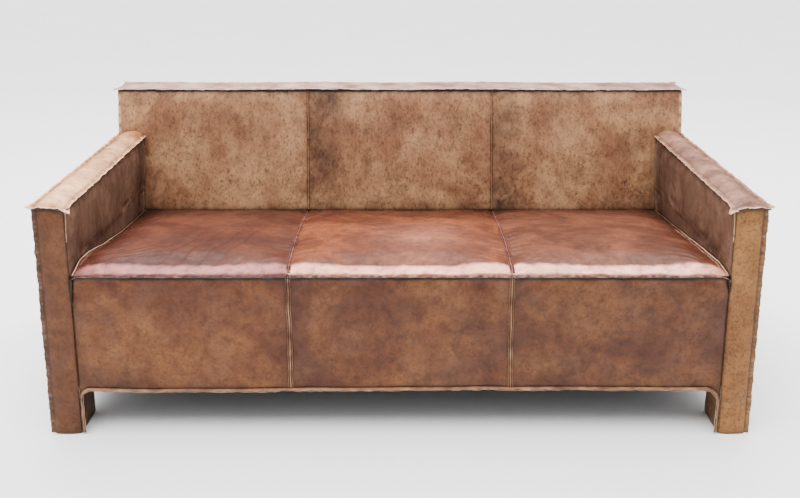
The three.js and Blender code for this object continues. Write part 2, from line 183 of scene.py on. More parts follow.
def make_piece(name, mesh, materials, thickness=0.0, replaced=()):
    """Turns a mesh into a named piece, with a wall on its inner side if it has a thickness. The
    last material is that of the wall's edge."""
    data = bpy.data.meshes.new(name)
    mesh.to_mesh(data)
    mesh.free()
    for face in data.polygons:
        face.use_smooth = True
    for material in materials:
        data.materials.append(material)
    piece = bpy.data.objects.new(name, data)
    scene.collection.objects.link(piece)
    if thickness:
        wall = piece.modifiers.new("wall", "SOLIDIFY")
        wall.thickness = thickness
        wall.offset = -1.0
        wall.material_offset_rim = len(materials) - 1
    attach(piece, "root")
    if replaced:
        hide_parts(*replaced)
    return piece


# The jute is a plain weave, threads 4 mm apart: two waves that cross, in colour and in relief.
THREAD = 0.004
hessian_cloth, tree = new_material("woven_jute_hessian")
place = add_node(tree, "TexCoord").outputs["Object"]
waves = []
for direction in ("X", "Y"):
    inputs = {"Vector": place, "Scale": 2 * math.pi / THREAD / 20, "Distortion": 0.4, "Detail": 1.0}
    waves.append(add_node(tree, "TexWave", inputs, bands_direction=direction).outputs["Fac"])
weave = add_node(tree, "Math", {0: waves[0], 1: waves[1]}, operation="MULTIPLY").outputs[0]
tones = {0: weave, 6: linear("#6f5a3a"), 7: linear("#b79b6c")}
colour = add_node(tree, "Mix", tones, data_type="RGBA").outputs[2]
bump = add_node(tree, "Bump", {"Height": weave, "Strength": 0.6, "Distance": THREAD / 4}).outputs[0]
give_surface(tree, {"Base Color": colour, "Roughness": 0.95, "Normal": bump})

HESSIAN_SINK = 0.0015
for part in ("seat", "back"):
    low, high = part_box(f"{part}_hessian")

    def place_hessian(u, v):
        sink = -HESSIAN_SINK * math.sin(math.pi * u) * math.sin(math.pi * v)
        spot = Vector((low.x + (high.x - low.x) * u, low.y + (high.y - low.y) * v, 0.0))
        if part == "seat":
            spot.z = high.z - (high.z - low.z) * v + sink
        else:
            spot.z = low.z + (high.z - low.z) * v
            spot.y -= sink
        return spot

    cloth = lay_grid(48, 24, place_hessian, (0, 0, 1) if part == "seat" else (0, -1, 0))
    name = f"{part}_hessian_cloth"
    piece = make_piece(name, cloth, [hessian_cloth], 0.0012, [f"{part}_hessian"])
    height = math.hypot(high.y - low.y, high.z - low.z)


# Foam: cut slabs of cream polyurethane foam, glued and rounded at their edges, with softer padding
# over the rails. They fill the leather and are seen only where it is opened. Foam is matt and pale
# yellow, with open cells of about a millimetre.
foam, tree = new_material("open_cell_foam")
place = add_node(tree, "TexCoord").outputs["Object"]
cell = add_node(tree, "TexVoronoi", {"Vector": place, "Scale": 900.0}).outputs["Distance"]
cloud = add_node(tree, "TexNoise", {"Vector": place, "Scale": 9.0, "Detail": 3.0}).outputs["Fac"]
tones = {0: cloud, 6: linear("#d8c48c"), 7: linear("#f0e6bd")}
colour = add_node(tree, "Mix", tones, data_type="RGBA").outputs[2]
bump = add_node(tree, "Bump", {"Height": cell, "Strength": 0.5, "Distance": 0.0005}).outputs[0]
give_surface(tree, {"Base Color": colour, "Roughness": 0.95, "Normal": bump})

ARM_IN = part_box("arm_inner_panel_right")[0].x
ARM_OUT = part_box("arm_outer_panel_right")[1].x
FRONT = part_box("arm_front_panel_right")[0].y
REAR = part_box("outside_back_panel")[1].y
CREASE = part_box("back_panel_centre")[0].y + 0.0102
SEAM = 0.31  # from the middle to the seams of seat and apron, at the front
SHOULDER = 0.075  # how far from the arm the seat starts to fall
SEAT_DEPTH = 0.777  # from the front plane to where the seat ends under the back
ARM_DROP = {  # how many millimetres the seat has fallen at the arm, by the distance run back
    -1: ([0, 0.03, 0.075, 0.157, 0.293, 0.473, 0.65, SEAT_DEPTH], [18, 21, 7, 9, 29, 31, 17, 1]),
    1: ([0, 0.03, 0.088, 0.2, 0.368, 0.55, SEAT_DEPTH], [18, 21, 17, 24, 27, 19, 1]),
}
FOAM_CUTS = [side * (ARM_IN - step) for side in SIDES.values() for step in (0.012, 0.03, 0.05, 0.07)]


def seat_drop(x, run):
    """How far the seat falls below its crown towards the arm, run back from the front plane."""
    runs, drops = ARM_DROP[1 if x > 0 else -1]
    return np.interp(run, runs, drops) / 1000 * near(ARM_IN - abs(x), SHOULDER)


def cut_foam(node, rounding, ease):
    """Foam in the shape of its plain solid, drawn in by ease and rounded along its edges."""
    mesh = bmesh.new()
    mesh.from_mesh(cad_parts[node].data)
    bmesh.ops.remove_doubles(mesh, verts=mesh.verts, dist=1e-5)
    bmesh.ops.dissolve_limit(mesh, angle_limit=0.02, verts=mesh.verts, edges=mesh.edges)
    mesh.normal_update()
    moves = [(vert, vert.normal * -ease * vert.calc_shell_factor()) for vert in mesh.verts]
    for vert, move in moves:
        vert.co += move
    bmesh.ops.bevel(
        mesh, geom=mesh.edges[:], offset=rounding, offset_type="OFFSET", affect="EDGES", segments=3,
        profile=0.5, material=-1, clamp_overlap=True,
    )
    for x in FOAM_CUTS:
        geometry = mesh.verts[:] + mesh.edges[:] + mesh.faces[:]
        bmesh.ops.bisect_plane(mesh, geom=geometry, plane_co=(x, 0, 0), plane_no=(1, 0, 0))
    for vert in mesh.verts:
        if node == "seat_foam" and vert.co.z > 0.41:  # its top follows the fall of the cover
            vert.co.z -= seat_drop(vert.co.x, vert.co.y - FRONT) + 0.005
        if node.startswith("arm_top_foam") and vert.co.y < FRONT + 0.03:  # clear of the turned edge
            vert.co.y += 0.034
    piece = make_piece(f"{node}_cut", mesh, [foam], replaced=[node])
    for face in piece.data.polygons:
        face.use_smooth = False


cut_foam("seat_foam", 0.006, 0.001)
cut_foam("back_foam", 0.008, 0.004)
cut_foam("back_top_padding", 0.004, 0.0005)
cut_foam("apron_padding", 0.002, 0.0025)
for side in SIDES:
    cut_foam(f"arm_top_foam_{side}", 0.004, 0.003)
    cut_foam(f"arm_inner_foam_{side}", 0.002, 0.0005)


# Dust cover: black nonwoven cambric tacked under the frame and notched round the legs. It sags a
# little between its tacks.
cambric = two_toned(
    "black_nonwoven_cambric", ("#101012", "#26262a"), 240.0, 6.0, 0.95, relief=(0.4, 0.0004)
)
low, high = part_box("dust_cover")
NOTCH_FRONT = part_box("front_leg_sleeve_right")[1].y
NOTCH_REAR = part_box("rear_leg_sleeve_right")[0].y
NOTCH_EASE = 0.012


def place_dust_cover(u, v):
    x, y = low.x + (high.x - low.x) * u, low.y + (high.y - low.y) * v
    sag = 0.006 * (math.sin(math.pi * u) * math.sin(math.pi * v)) ** 0.5
    return Vector((x, y, high.z - sag - 0.0008 * waver((x, y, 0), 0.08)))


cloth = lay_grid(88, 42, place_dust_cover, (0, 0, -1))
over_legs = [
    face
    for face in cloth.faces
    if abs(face.calc_center_median().x) > ARM_IN - 0.02
    and not NOTCH_FRONT + NOTCH_EASE < face.calc_center_median().y < NOTCH_REAR - NOTCH_EASE
]
bmesh.ops.delete(cloth, geom=over_legs, context="FACES")
piece = make_piece("dust_cover_cloth", cloth, [cambric], 0.0006, ["dust_cover"])
width, depth = high.x - low.x, high.y - low.y


# Seat: three panels of 2 mm hide sewn side by side and laid over the foam, from the seam with the
# apron over a round front edge down to the crease. The foam swells them between their seams and
# years of sitting have creased them.
LEATHER = 0.002
GAP = 0.0005


def worn_hide(name, tones, veins, haze, gloss, dents, shine, drag=(1, 1, 1)):
    """Waxed pull-up cowhide: cloudy brown where the wax has moved, with dark veins and scuffs, paler
    where it is rubbed and where a highlight is painted in, sooty in patches and darkened with painted
    shade in folds, seams and under edges. The eye sees clouds of a hand's width, a mottle of a few
    centimetres and a fine grain; the wax gives broken, soft highlights. Tones are its shadow, body and
    light colours and the colour of rubbing and of painted highlight, veins and haze how strongly those
    show, and gloss its roughness where it is most and least polished."""
    material, tree = new_material(name)
    shadow, body, light, worn_and_sheen = tones
    place = add_node(tree, "TexCoord").outputs["Object"]
    marks = add_node(tree, "Attribute", attribute_name="wear_shade_and_sheen").outputs["Color"]
    # The attribute's three shares: soot with painted shade, rubbing with painted highlight, and painted
    # shade in seams, creases and under edges
    soot_and_shade, rubbed_and_sheen, painted_shade = add_node(tree, "SeparateColor", {0: marks}).outputs
    dragged = add_node(tree, "Mapping", {"Vector": place, "Scale": drag}).outputs[0]

    clouds = {}
    for cloud, vector, size, detail, roughness, distortion in (
        ("cloud", place, 0.17, 5.0, 0.58, 0.6),
        ("mottle", dragged, 0.026, 9.0, 0.7, 0.2),
        ("speck", dragged, 0.0075, 6.0, 0.78, 0.0),
        ("stir", place, 0.06, 3.0, 0.5, 0.0),
        ("veined", place, 0.09, 3.0, 0.5, 0.0),
        ("haze", place, 0.085, 7.0, 0.64, 0.0),
        ("ripple", place, 0.03, 5.0, 0.6, 0.0),
    ):
        inputs = {"Vector": vector, "Scale": 1 / size, "Detail": detail}
        inputs |= {"Roughness": roughness, "Distortion": distortion}
        clouds[cloud] = add_node(tree, "TexNoise", inputs).outputs
    cloud, mottle, speck = (clouds[name]["Fac"] for name in ("cloud", "mottle", "speck"))
    stir = {0: clouds["stir"]["Color"], "Scale": 0.035}
    stir = add_node(tree, "VectorMath", stir, operation="SCALE").outputs[0]
    stirred = add_node(tree, "VectorMath", {0: place, 1: stir}, operation="ADD").outputs[0]
    cracks = [
        add_node(
            tree, "TexVoronoi", {"Vector": stirred, "Scale": 1 / size}, feature="DISTANCE_TO_EDGE"
        ).outputs["Distance"]
        for size in (0.034, 0.012)
    ]

    shares = []
    for value, low, high, bottom, top in (
        (clouds["veined"]["Fac"], 0.46, 0.66, 0.0, 1.0),
        (cracks[0], 0.0, 0.05, 1.0, 0.0),
        (cracks[1], 0.0, 0.09, 1.0, 0.0),
        (mottle, 0.26, 0.62, 0.2, 1.0),
        (cloud, 0.36, 0.66, 0.0, 1.0),
        (mottle, 0.3, 0.68, 0.45, 1.0),
        (clouds["haze"]["Fac"], 0.46, 0.70, 0.0, 1.0),
        (speck, 0.34, 0.52, 0.75, 0.0),
        (mottle, 0.25, 0.6, 0.35, 1.0),
        (mottle, 0.2, 0.75, 1.0, 0.6),
        (mottle, 0.3, 0.7, gloss[1], gloss[0]),
    ):
        inputs = {0: value, 1: low, 2: high, 3: bottom, 4: top}
        share = add_node(tree, "MapRange", inputs, interpolation_type="SMOOTHSTEP")
        shares.append(share.outputs[0])
    veined, wide, fine, full, lit, patchy, hazy, specked, broken, soot_and_shade_breakup, roughness = shares
    lines = [
        add_node(tree, "Math", {0: crack, 1: veined}, operation="MULTIPLY").outputs[0]
        for crack in (wide, fine)
    ]

    colour = linear(shadow)
    for tint, share, of in (
        (body, full, None),
        (light, lit, patchy),
        ("#4a2d22", hazy, haze),
        ("#3c2115", specked, None),
        ("#2a1710", lines[0], veins),
        ("#2a1710", lines[1], veins * 0.55),
        # the rubbed colour, which is also the painted highlight where a mask asks for it
        (worn_and_sheen, rubbed_and_sheen, broken),
        # soot, and painted shade in corners and under edges
        ("#1d1512", soot_and_shade, soot_and_shade_breakup),
        # painted shade: near-black in seams, creases and under edges
        ("#1c0e09", painted_shade, None),
    ):
        if of is not None:
            share = add_node(tree, "Math", {0: share, 1: of}, operation="MULTIPLY").outputs[0]
        layer = {0: share, 6: colour, 7: linear(tint)}
        colour = add_node(tree, "Mix", layer, data_type="RGBA").outputs[2]

    grain = add_node(tree, "TexVoronoi", {"Vector": stirred, "Scale": 1 / 0.0022}).outputs["Distance"]
    inputs = {"Height": grain, "Strength": 0.18, "Distance": 0.0006}
    relief = add_node(tree, "Bump", inputs).outputs[0]
    inputs = {"Height": clouds["ripple"]["Fac"], "Strength": 0.32 * dents, "Distance": 0.006}
    relief = add_node(tree, "Bump", inputs | {"Normal": relief}).outputs[0]
    inputs = {"Height": lines[0], "Strength": 0.5, "Distance": 0.0008, "Normal": relief}
    relief = add_node(tree, "Bump", inputs, invert=True).outputs[0]
    inputs = {"Base Color": colour, "Roughness": roughness, "Normal": relief, "IOR": 1.5}
    inputs |= {"Specular IOR Level": shine, "Coat Weight": 0.15 * shine, "Coat Roughness": 0.3}
    give_surface(tree, inputs)
    return material


# The cut edge of the hide is raw, cream to tan suede, grubby from handling.
cut_edge, grubby_edge = (
    two_toned(name, tones, 70.0, 6.0, 0.9, relief=(0.5, 0.001), spread=(0.44, 0.72))
    for name, tones in (
        ("raw_cut_hide_edge", ("#f0dcc2", "#a07e62")),
        ("grubby_cut_hide_edge", ("#a98a6e", "#4a2f22")),
    )
)


def rounded(points, times=4):
    """A line of points with its corners cut until it runs smooth."""
    points = [Vector(point) for point in points]
    for _ in range(times):
        cut = [points[0]]
        for start, end in zip(points, points[1:]):
            cut += [start.lerp(end, 0.25), start.lerp(end, 0.75)]
        points = [*cut, points[-1]]
    return points


def runner(points):
    """The point at any share of the length of a line."""
    knots = np.array([tuple(point) for point in points])
    steps = np.linalg.norm(np.diff(knots, axis=0), axis=1)
    shares = np.concatenate([[0.0], np.cumsum(steps)]) / steps.sum()
    return lambda t: Vector([np.interp(t, shares, column) for column in knots.T])


def length_of(points):
    return sum((b - a).length for a, b in zip(points, points[1:]))


def cover(name, mesh, hides, replaced, thickness=LEATHER):
    """A panel of the leather cover, with a wall of the given thickness, in place of a plain part."""
    piece = make_piece(name, mesh, hides, thickness, [replaced])


def rim(u, v):
    """Whether a point of a panel lies on one of its four edges."""
    return v < 0.001 or v > 0.999 or u < 0.001 or u > 0.999


def billow(place, facing, across, along, held, push, slack, cap, frames=18):
    """How far hide laid by place(u, v) moves when its filling pushes it out: a cloth simulation on a
    coarse grid, where held(u, v) points stay. Gives the move at any u, v, at most cap."""
    moves = np.zeros((along + 1, across + 1, 3))
    data = bpy.data.meshes.new("billow")
    mesh = lay_grid(across, along, place, facing)
    mesh.to_mesh(data)
    mesh.free()
    trial = bpy.data.objects.new("billow", data)
    scene.collection.objects.link(trial)
    pins = trial.vertex_groups.new(name="pins")
    count = across + 1
    shares = [(i % count / across, i // count / along) for i in range(len(data.vertices))]
    pins.add([i for i, (u, v) in enumerate(shares) if held(u, v)], 1.0, "REPLACE")
    cloth = trial.modifiers.new("cloth", "CLOTH")
    hide = cloth.settings
    hide.vertex_group_mass = "pins"
    hide.quality = 5
    hide.mass = 0.3
    hide.tension_stiffness = hide.compression_stiffness = 25
    hide.shear_stiffness = 10
    hide.bending_stiffness = 0.8
    hide.use_pressure = True
    hide.uniform_pressure_force = push
    hide.shrink_min = -slack
    hide.effector_weights.gravity = 0.0
    cloth.collision_settings.use_collision = False
    cloth.collision_settings.use_self_collision = False
    cloth.point_cache.frame_end = frames
    rest = np.empty(len(data.vertices) * 3)
    data.vertices.foreach_get("co", rest)
    for step in range(1, frames + 1):
        scene.frame_set(step)
    final = np.empty_like(rest)
    posed = trial.evaluated_get(bpy.context.evaluated_depsgraph_get()).data
    posed.vertices.foreach_get("co", final)
    scene.frame_set(1)
    moved = (final - rest).reshape(-1, 3)
    reach = np.linalg.norm(moved, axis=1, keepdims=True)
    moved *= cap * np.tanh(reach / cap) / np.maximum(reach, 1e-9)
    moves = moved.reshape(along + 1, across + 1, 3)
    bpy.data.objects.remove(trial)
    bpy.data.meshes.remove(data)
    padded_moves = np.pad(moves, ((1, 1), (1, 1), (0, 0)), mode="edge")

    def weights(t):
        return np.array([
            -0.5 * t + t * t - 0.5 * t**3,
            1 - 2.5 * t * t + 1.5 * t**3,
            0.5 * t + 2 * t * t - 1.5 * t**3,
            -0.5 * t * t + 0.5 * t**3,
        ])

    def move(u, v):
        x, y = u * across, v * along
        i, j = min(int(x), across - 1), min(int(y), along - 1)
        window = padded_moves[j : j + 4, i : i + 4]
        if window.shape[0] < 4 or window.shape[1] < 4:
            return Vector(moves[min(round(y), along), min(round(x), across)])
        return Vector(np.einsum("j,i,jik->k", weights(y - j), weights(x - i), window))

    return move


def ragged(spot, seed):
    """How much wider than its mean a hand-cut edge is here."""
    return 0.2 * waver(spot, 0.017, seed) + 0.12 * waver(spot, 0.006, seed + 3)


def ruffle(spot, seed):
    """How far a raw edge stands out of its plane here, in metres."""
    return 0.0017 * waver(spot, 0.026, seed) + 0.0008 * waver(spot, 0.011, seed + 5)


# The last tone of each seat hide is also the colour of the painted highlight along the front edge
seat_hides = {
    panel: worn_hide(f"waxed_hide_seat_{panel}", tones, veins, haze, (0.38, 0.52), dents, 0.14)
    for panel, tones, veins, haze, dents in (
        ("left", ("#29120b", "#472015", "#633422", "#b0706c"), 0.25, 0.3, 0.35),
        ("centre", ("#38160a", "#582613", "#864829", "#ffb49c"), 0.2, 0.15, 0.3),
        ("right", ("#30150d", "#4f281a", "#74422c", "#ffb8a2"), 0.25, 0.25, 0.35),
    )
}
SEAM_SPLAY = 0.02  # how much farther out the seat's seams are at the crease
SEAT_FLANGE = 0.0045
SHEEN_BAND = 0.047  # how far back the front edge is pale: partly rubbed, partly a painted highlight
seat_line = rounded([
    (0, 0.0, 0.4835),
    (0, 0.0015, 0.489),
    (0, 0.010, 0.4965),
    (0, 0.030, 0.5015),
    (0, 0.075, 0.5035),
    (0, 0.30, 0.4925),
    (0, 0.577, 0.4515),
    (0, 0.774, 0.4175),
])
seat_run = runner(seat_line)
SEAT_ROWS = 168
FLANGE_SHARE = 3 / SEAT_ROWS


def seat_height(x, run, sign):
    """Height of the seat at a place, run back from the front plane."""
    level = np.interp(run, [point.y for point in seat_line], [point.z for point in seat_line])
    return level - seat_drop(sign * x, run)


def seat_seam_x(run):
    return SEAM + SEAM_SPLAY * run / SEAT_DEPTH


def crease_fans(spot, fans):
    """The height of folds that spread from the given points. A fan is its point, the angles its
    folds lie between, how far they reach, how many there are and how high they stand."""
    height = 0.0
    for (x, y), (first, last), reach, count, depth in fans:
        dx, dy = spot.x - x, spot.y - y
        distance = math.hypot(dx, dy)
        angle = math.degrees(math.atan2(dy, dx))
        if first < angle < last and 0.004 < distance < reach:
            share = (angle - first) / (last - first)
            bend = 0.35 * waver((distance, 0, 0), 0.07, x + y)
            fold = math.sin(2 * math.pi * (count * share + bend))
            stand = abs(fold) ** 0.6 * (1 if fold > 0 else -0.5)
            fade = math.sin(math.pi * share) ** 0.5 * (1 - distance / reach)
            height += depth * stand * fade * min(1, distance / 0.03)
    return height


def pucker(along, distance, size, depth, reach, seed):
    """The height of the small folds that a seam pulls into the hide beside it."""
    return depth * waver((along, 0, seed), size, seed) * near(distance, reach)


def tucks(spot):
    """How deep in one of the long tucks that run back across the left seat a point is."""
    run = spot.y - FRONT
    fade = math.sin(math.pi * min(1.0, max(0.0, (run - 0.03) / 0.36))) ** 0.6
    lean = 0.27 * run + 0.012 * waver((0, run, 0), 0.11, 5)
    starts = (-0.73, -0.69, -0.64, -0.58, -0.53)
    return fade * max(near(spot.x - start - lean, 0.013) for start in starts)


SEAT_FANS = {
    "left": [
        ((-0.905, FRONT + 0.03), (8, 70), 0.26, 7, 0.0022),
        ((-0.80, FRONT + 0.06), (10, 60), 0.30, 3.5, 0.0016),
        ((-0.90, CREASE), (-75, -5), 0.26, 4, 0.0025),
        ((-0.335, CREASE), (-170, -110), 0.2, 3, 0.0015),
    ],
    "centre": [
        ((-0.33, CREASE), (-70, -10), 0.22, 3, 0.0015),
        ((0.33, CREASE), (-170, -110), 0.22, 3, 0.0015),
        ((0.30, FRONT + 0.03), (110, 172), 0.2, 3, 0.0015),
    ],
    "right": [
        ((0.90, CREASE), (-175, -105), 0.3, 4, 0.0025),
        ((0.905, FRONT + 0.03), (112, 172), 0.28, 4, 0.0022),
        ((0.31, FRONT + 0.03), (10, 60), 0.2, 3, 0.0015),
    ],
}
seat_edges = {
    "left": (lambda run: -(ARM_IN - GAP), lambda run: -seat_seam_x(run)),
    "centre": (lambda run: -seat_seam_x(run), seat_seam_x),
    "right": (seat_seam_x, lambda run: ARM_IN - GAP),
}
for number, panel in enumerate(PANELS):
    left, right = seat_edges[panel]

    def seat_base(u, v):
        """Where the hide lies before it is pushed out. Its first rows are the raw edge in front."""
        share = max(0.0, (v - FLANGE_SHARE) / (1 - FLANGE_SHARE))
        spot = seat_run(share)
        run = spot.y
        x0, x1 = left(run), right(run)
        spot.x = x0 + (x1 - x0) * u
        excess = max(0.0, 1 - v / FLANGE_SHARE)
        if excess:
            wide = SEAT_FLANGE * excess * (1 + ragged(spot, number * 7.0))
            spot.y -= wide
            spot.z -= 0.0025 * excess - ruffle(spot, number * 7.0) * excess
            spot.z -= 0.012 * near(ARM_IN - abs(spot.x), 0.03)
        else:
            spot.z -= seat_drop(spot.x, run)
            to_seam = min(abs(spot.x - x0), abs(spot.x - x1))
            if to_seam < 0.05 and abs(spot.x) < ARM_IN - 0.05:
                spot.z -= 0.007 * near(to_seam, 0.035) * min(1.0, share / 0.02)
        spot.y += FRONT
        return spot

    def held(u, v):
        return v < FLANGE_SHARE * 1.4 or rim(u, v)

    swell = billow(seat_base, (0, 0, 1), 66, 88, held, 1.0, 0.009, 0.009)

    def place_seat(u, v):
        spot = seat_base(u, v)
        run = spot.y - FRONT
        if v > FLANGE_SHARE:
            spot += swell(u, v)
            edge = min(u, 1 - u) * (right(run) - left(run))
            spot.z += 0.0018 * waver(spot, 0.10, number) + 0.0009 * waver(spot, 0.035, number + 4)
            spot.z += pucker(run, edge, 0.022, 0.0022, 0.06, number)
            spot.z += pucker(spot.x, run, 0.02, 0.0016, 0.07, number + 9)
            spot.z += crease_fans(spot, SEAT_FANS[panel])
            if panel == "left":
                spot.z -= 0.0026 * tucks(spot)
            spot.y -= 0.0015 * waver(spot, 0.06, number + 2) * near(run, 0.05)
        return spot

    def seat_wear_shade_and_sheen(u, v, spot):
        seed = number * 3.0
        run = spot.y - FRONT
        to_arm = ARM_IN - abs(spot.x)
        seam = min(abs(abs(spot.x) - seat_seam_x(run)), 1.0)
        # Painted shade in the tucks, in the crease at the back, beside the arms and along the seams
        painted_shade = 0.3 * tucks(spot) if panel == "left" else 0.0
        painted_shade += 1.1 * near(SEAT_DEPTH - 0.005 - run, 0.03) + 0.9 * near(to_arm, 0.009) * (run > 0.02)
        painted_shade += 0.3 * near(seam, 0.014) * (0.6 + 0.4 * waver(spot, 0.03, seed))
        # Darker towards the back and beside the arms: painted shade, with sooty patches
        soot_and_shade = (0.85 if abs(spot.x) < SEAM else 0.6) * near(SEAT_DEPTH - run, 0.52)
        soot_and_shade += 0.15 * max(0, waver(spot, 0.15, seed))
        soot_and_shade += 0.3 * near(to_arm, 0.10) * (0.7 + 0.5 * waver(spot, 0.08, seed + 6))
        rubbed_and_sheen = 0.0
        if v <= FLANGE_SHARE:
            rubbed_and_sheen = 0.15 + 0.35 * waver(spot, 0.012, seed)
            # The raw front edge is darkened with painted shade, the shade under the seat's edge
            painted_shade = max(0.0, 0.4 + 0.4 * waver(spot, 0.012, seed + 2) + near(seam, 0.02))
        # The front edge: pale with rubbing and a painted highlight
        elif run < SHEEN_BAND + 0.006:
            fade = (SHEEN_BAND - run + 0.0025 * waver(spot, 0.03, seed)) / 0.015
            rubbed_and_sheen = min(1.0, run / 0.004, fade)
            rubbed_and_sheen *= 0.9 + 0.2 * waver(spot, 0.06, seed) - 0.5 * near(to_arm, 0.12)
            soot_and_shade = 0.0
        elif to_arm < 0.03 and run < 0.5:
            rubbed_and_sheen = 0.6 * near(to_arm - 0.0135, 0.008)
        # The pale patch in the middle: partly wear from sitting, partly painted sheen
        if abs(spot.x) < SEAM:
            rubbed_and_sheen += 0.16 * near(math.hypot(spot.x - 0.06, (run - 0.26) * 0.9), 0.34)
        return soot_and_shade, max(0.0, rubbed_and_sheen), min(1.0, max(0.0, painted_shade))

    cloth = lay_grid(134, SEAT_ROWS, place_seat, (0, 0, 1), seat_wear_shade_and_sheen)
    cover(f"seat_cover_{panel}", cloth, [seat_hides[panel], grubby_edge], f"seat_panel_{panel}")


# Seat seams: the raw edges of neighbouring panels stand up side by side, folded over and
# topstitched, so each seam is three rounded ridges with valleys between them, darkened with painted
# shade.
HALF_SEAM = 0.010
RIDGES = (  # distance across a seam and height there, in millimetres
    [-10, -8, -6.4, -4.8, -3.2, -1.6, 0, 1.6, 3.2, 4.8, 6.4, 8, 10],
    [-2, 0.3, 2.2, 2.2, 0.1, 2.4, 3.0, 2.4, 0.1, 2.2, 2.2, 0.3, -2],
)


def seam_strip(
    name, spine, up, facing, along, hide, seed, soot_and_shade, ridges=RIDGES, half=HALF_SEAM, across=36
):
    """A sewn seam along spine(t): ridges of hide from side to side, standing out along up(t)."""

    def height(offset):
        return float(np.interp(offset * 1000, *ridges))

    def place(u, v):
        offset = (2 * u - 1) * half
        spot = spine(v)
        wander = 0.0012 * waver(spot, 0.05, seed)
        rise = height(offset) / 1000
        rise += 0.0006 * waver(spot, 0.012, seed + offset * 300) * (rise > 0)
        return spot + Vector((1, 0, 0)) * (offset + wander) + up(v) * rise

    def wear_shade_and_sheen(u, v, spot):
        offset = (2 * u - 1) * half
        tall = height(offset) / 4.0
        # The low ground between the ridges is darkened with painted shade
        valley_shade = max(0.0, 0.75 - tall) * (abs(offset) < half * 0.8)
        return 0.0, 0.9 * max(0.0, tall - 0.35) * (1 + waver(spot, 0.03, seed)), soot_and_shade * valley_shade

    strip = lay_grid(across, along, place, facing, wear_shade_and_sheen)
    make_piece(name, strip, [hide, cut_edge], 0.0012)


for side, sign in SIDES.items():

    def seat_spine(t):
        share = 0.012 + 0.985 * t
        spot = seat_run(share)
        spot.x = sign * seat_seam_x(spot.y)
        spot.z -= 0.0055 * min(1.0, share / 0.02)
        spot.y += FRONT
        return spot

    def seam_up(t):
        return Vector((0, -0.45 if t < 0.05 else -0.05, 0.9))

    seam_strip(
        f"seat_seam_{side}", seat_spine, seam_up, (0, 0, 1), 200, seat_hides["left"],
        4.0 + sign, 0.6,
    )


# Seat welts: a thin piping that finishes the seat's edge beside each arm.
welt_tones = ("#5e3a28", "#8a6248", "#a88066", "#d8b496")
welt_hide = worn_hide("waxed_hide_welt", welt_tones, 0.2, 0.2, (0.4, 0.56), 0.4, 0.25)
WELT = 0.0019
for side, sign in SIDES.items():

    def place_welt(u, v):
        spot = seat_run(0.004 + 0.99 * v)
        run = spot.y
        edge = sign * (ARM_IN - 0.0046)
        spot = Vector((edge, run + FRONT, spot.z - seat_drop(edge, run) + 0.0032))
        turn = 2 * math.pi * u
        wobble = 0.0006 * waver((0, run, 0), 0.05, 12 + sign)
        return spot + Vector((math.cos(turn) * WELT + wobble, 0, math.sin(turn) * WELT + wobble))

    def welt_wear(u, v, spot):
        fresh = min(1.0, max(0.0, (0.5 - (spot.y - FRONT)) / 0.2))
        return 0.6 * (1 - fresh), 0.8 * fresh * (0.7 + 0.4 * waver(spot, 0.05, 13)), 0.0

    tube = lay_grid(8, 200, place_welt, None, welt_wear)
    bmesh.ops.remove_doubles(tube, verts=tube.verts, dist=1e-6)
    ends = [edge for edge in tube.edges if edge.is_boundary]
    bmesh.ops.holes_fill(tube, edges=ends, sides=0)
    bmesh.ops.recalc_face_normals(tube, faces=tube.faces)
    make_piece(f"seat_side_welt_{side}", tube, [welt_hide])


# Apron: three panels of hide hung down the front from the seat's seam. The hem turns into the legs
# with a round, and the lower corners are cut to it.
apron_tones = ("#34170a", "#512914", "#714521", "#c39c7c")
apron_hide = worn_hide("waxed_hide_apron", apron_tones, 0.22, 0.4, (0.42, 0.62), 0.5, 0.2)
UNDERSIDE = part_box("apron_panel_centre")[0].z
APRON_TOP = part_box("apron_panel_centre")[1].z
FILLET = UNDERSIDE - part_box("apron_panel_right")[0].z
HEM_ROUND = {-1: 0.030, 1: 0.046}
LEG_LINE = ARM_IN - 0.0008  # where the apron ends beside the leg


def hem_bow(x):
    """How far the hem wanders up from straight."""
    return 0.003 * math.sin(x * 3.1 + 0.4) + 0.0018 * waver((x, 0, 0), 0.16, 3)


def hem_height(x):
    """Height of the apron's lower edge, which turns down into the legs."""
    radius = HEM_ROUND[1 if x > 0 else -1]
    into = abs(x) - (LEG_LINE - radius)
    if into <= 0:
        return UNDERSIDE + hem_bow(x)
    return UNDERSIDE + hem_bow(x) - radius + math.sqrt(max(0.0, radius**2 - into**2))


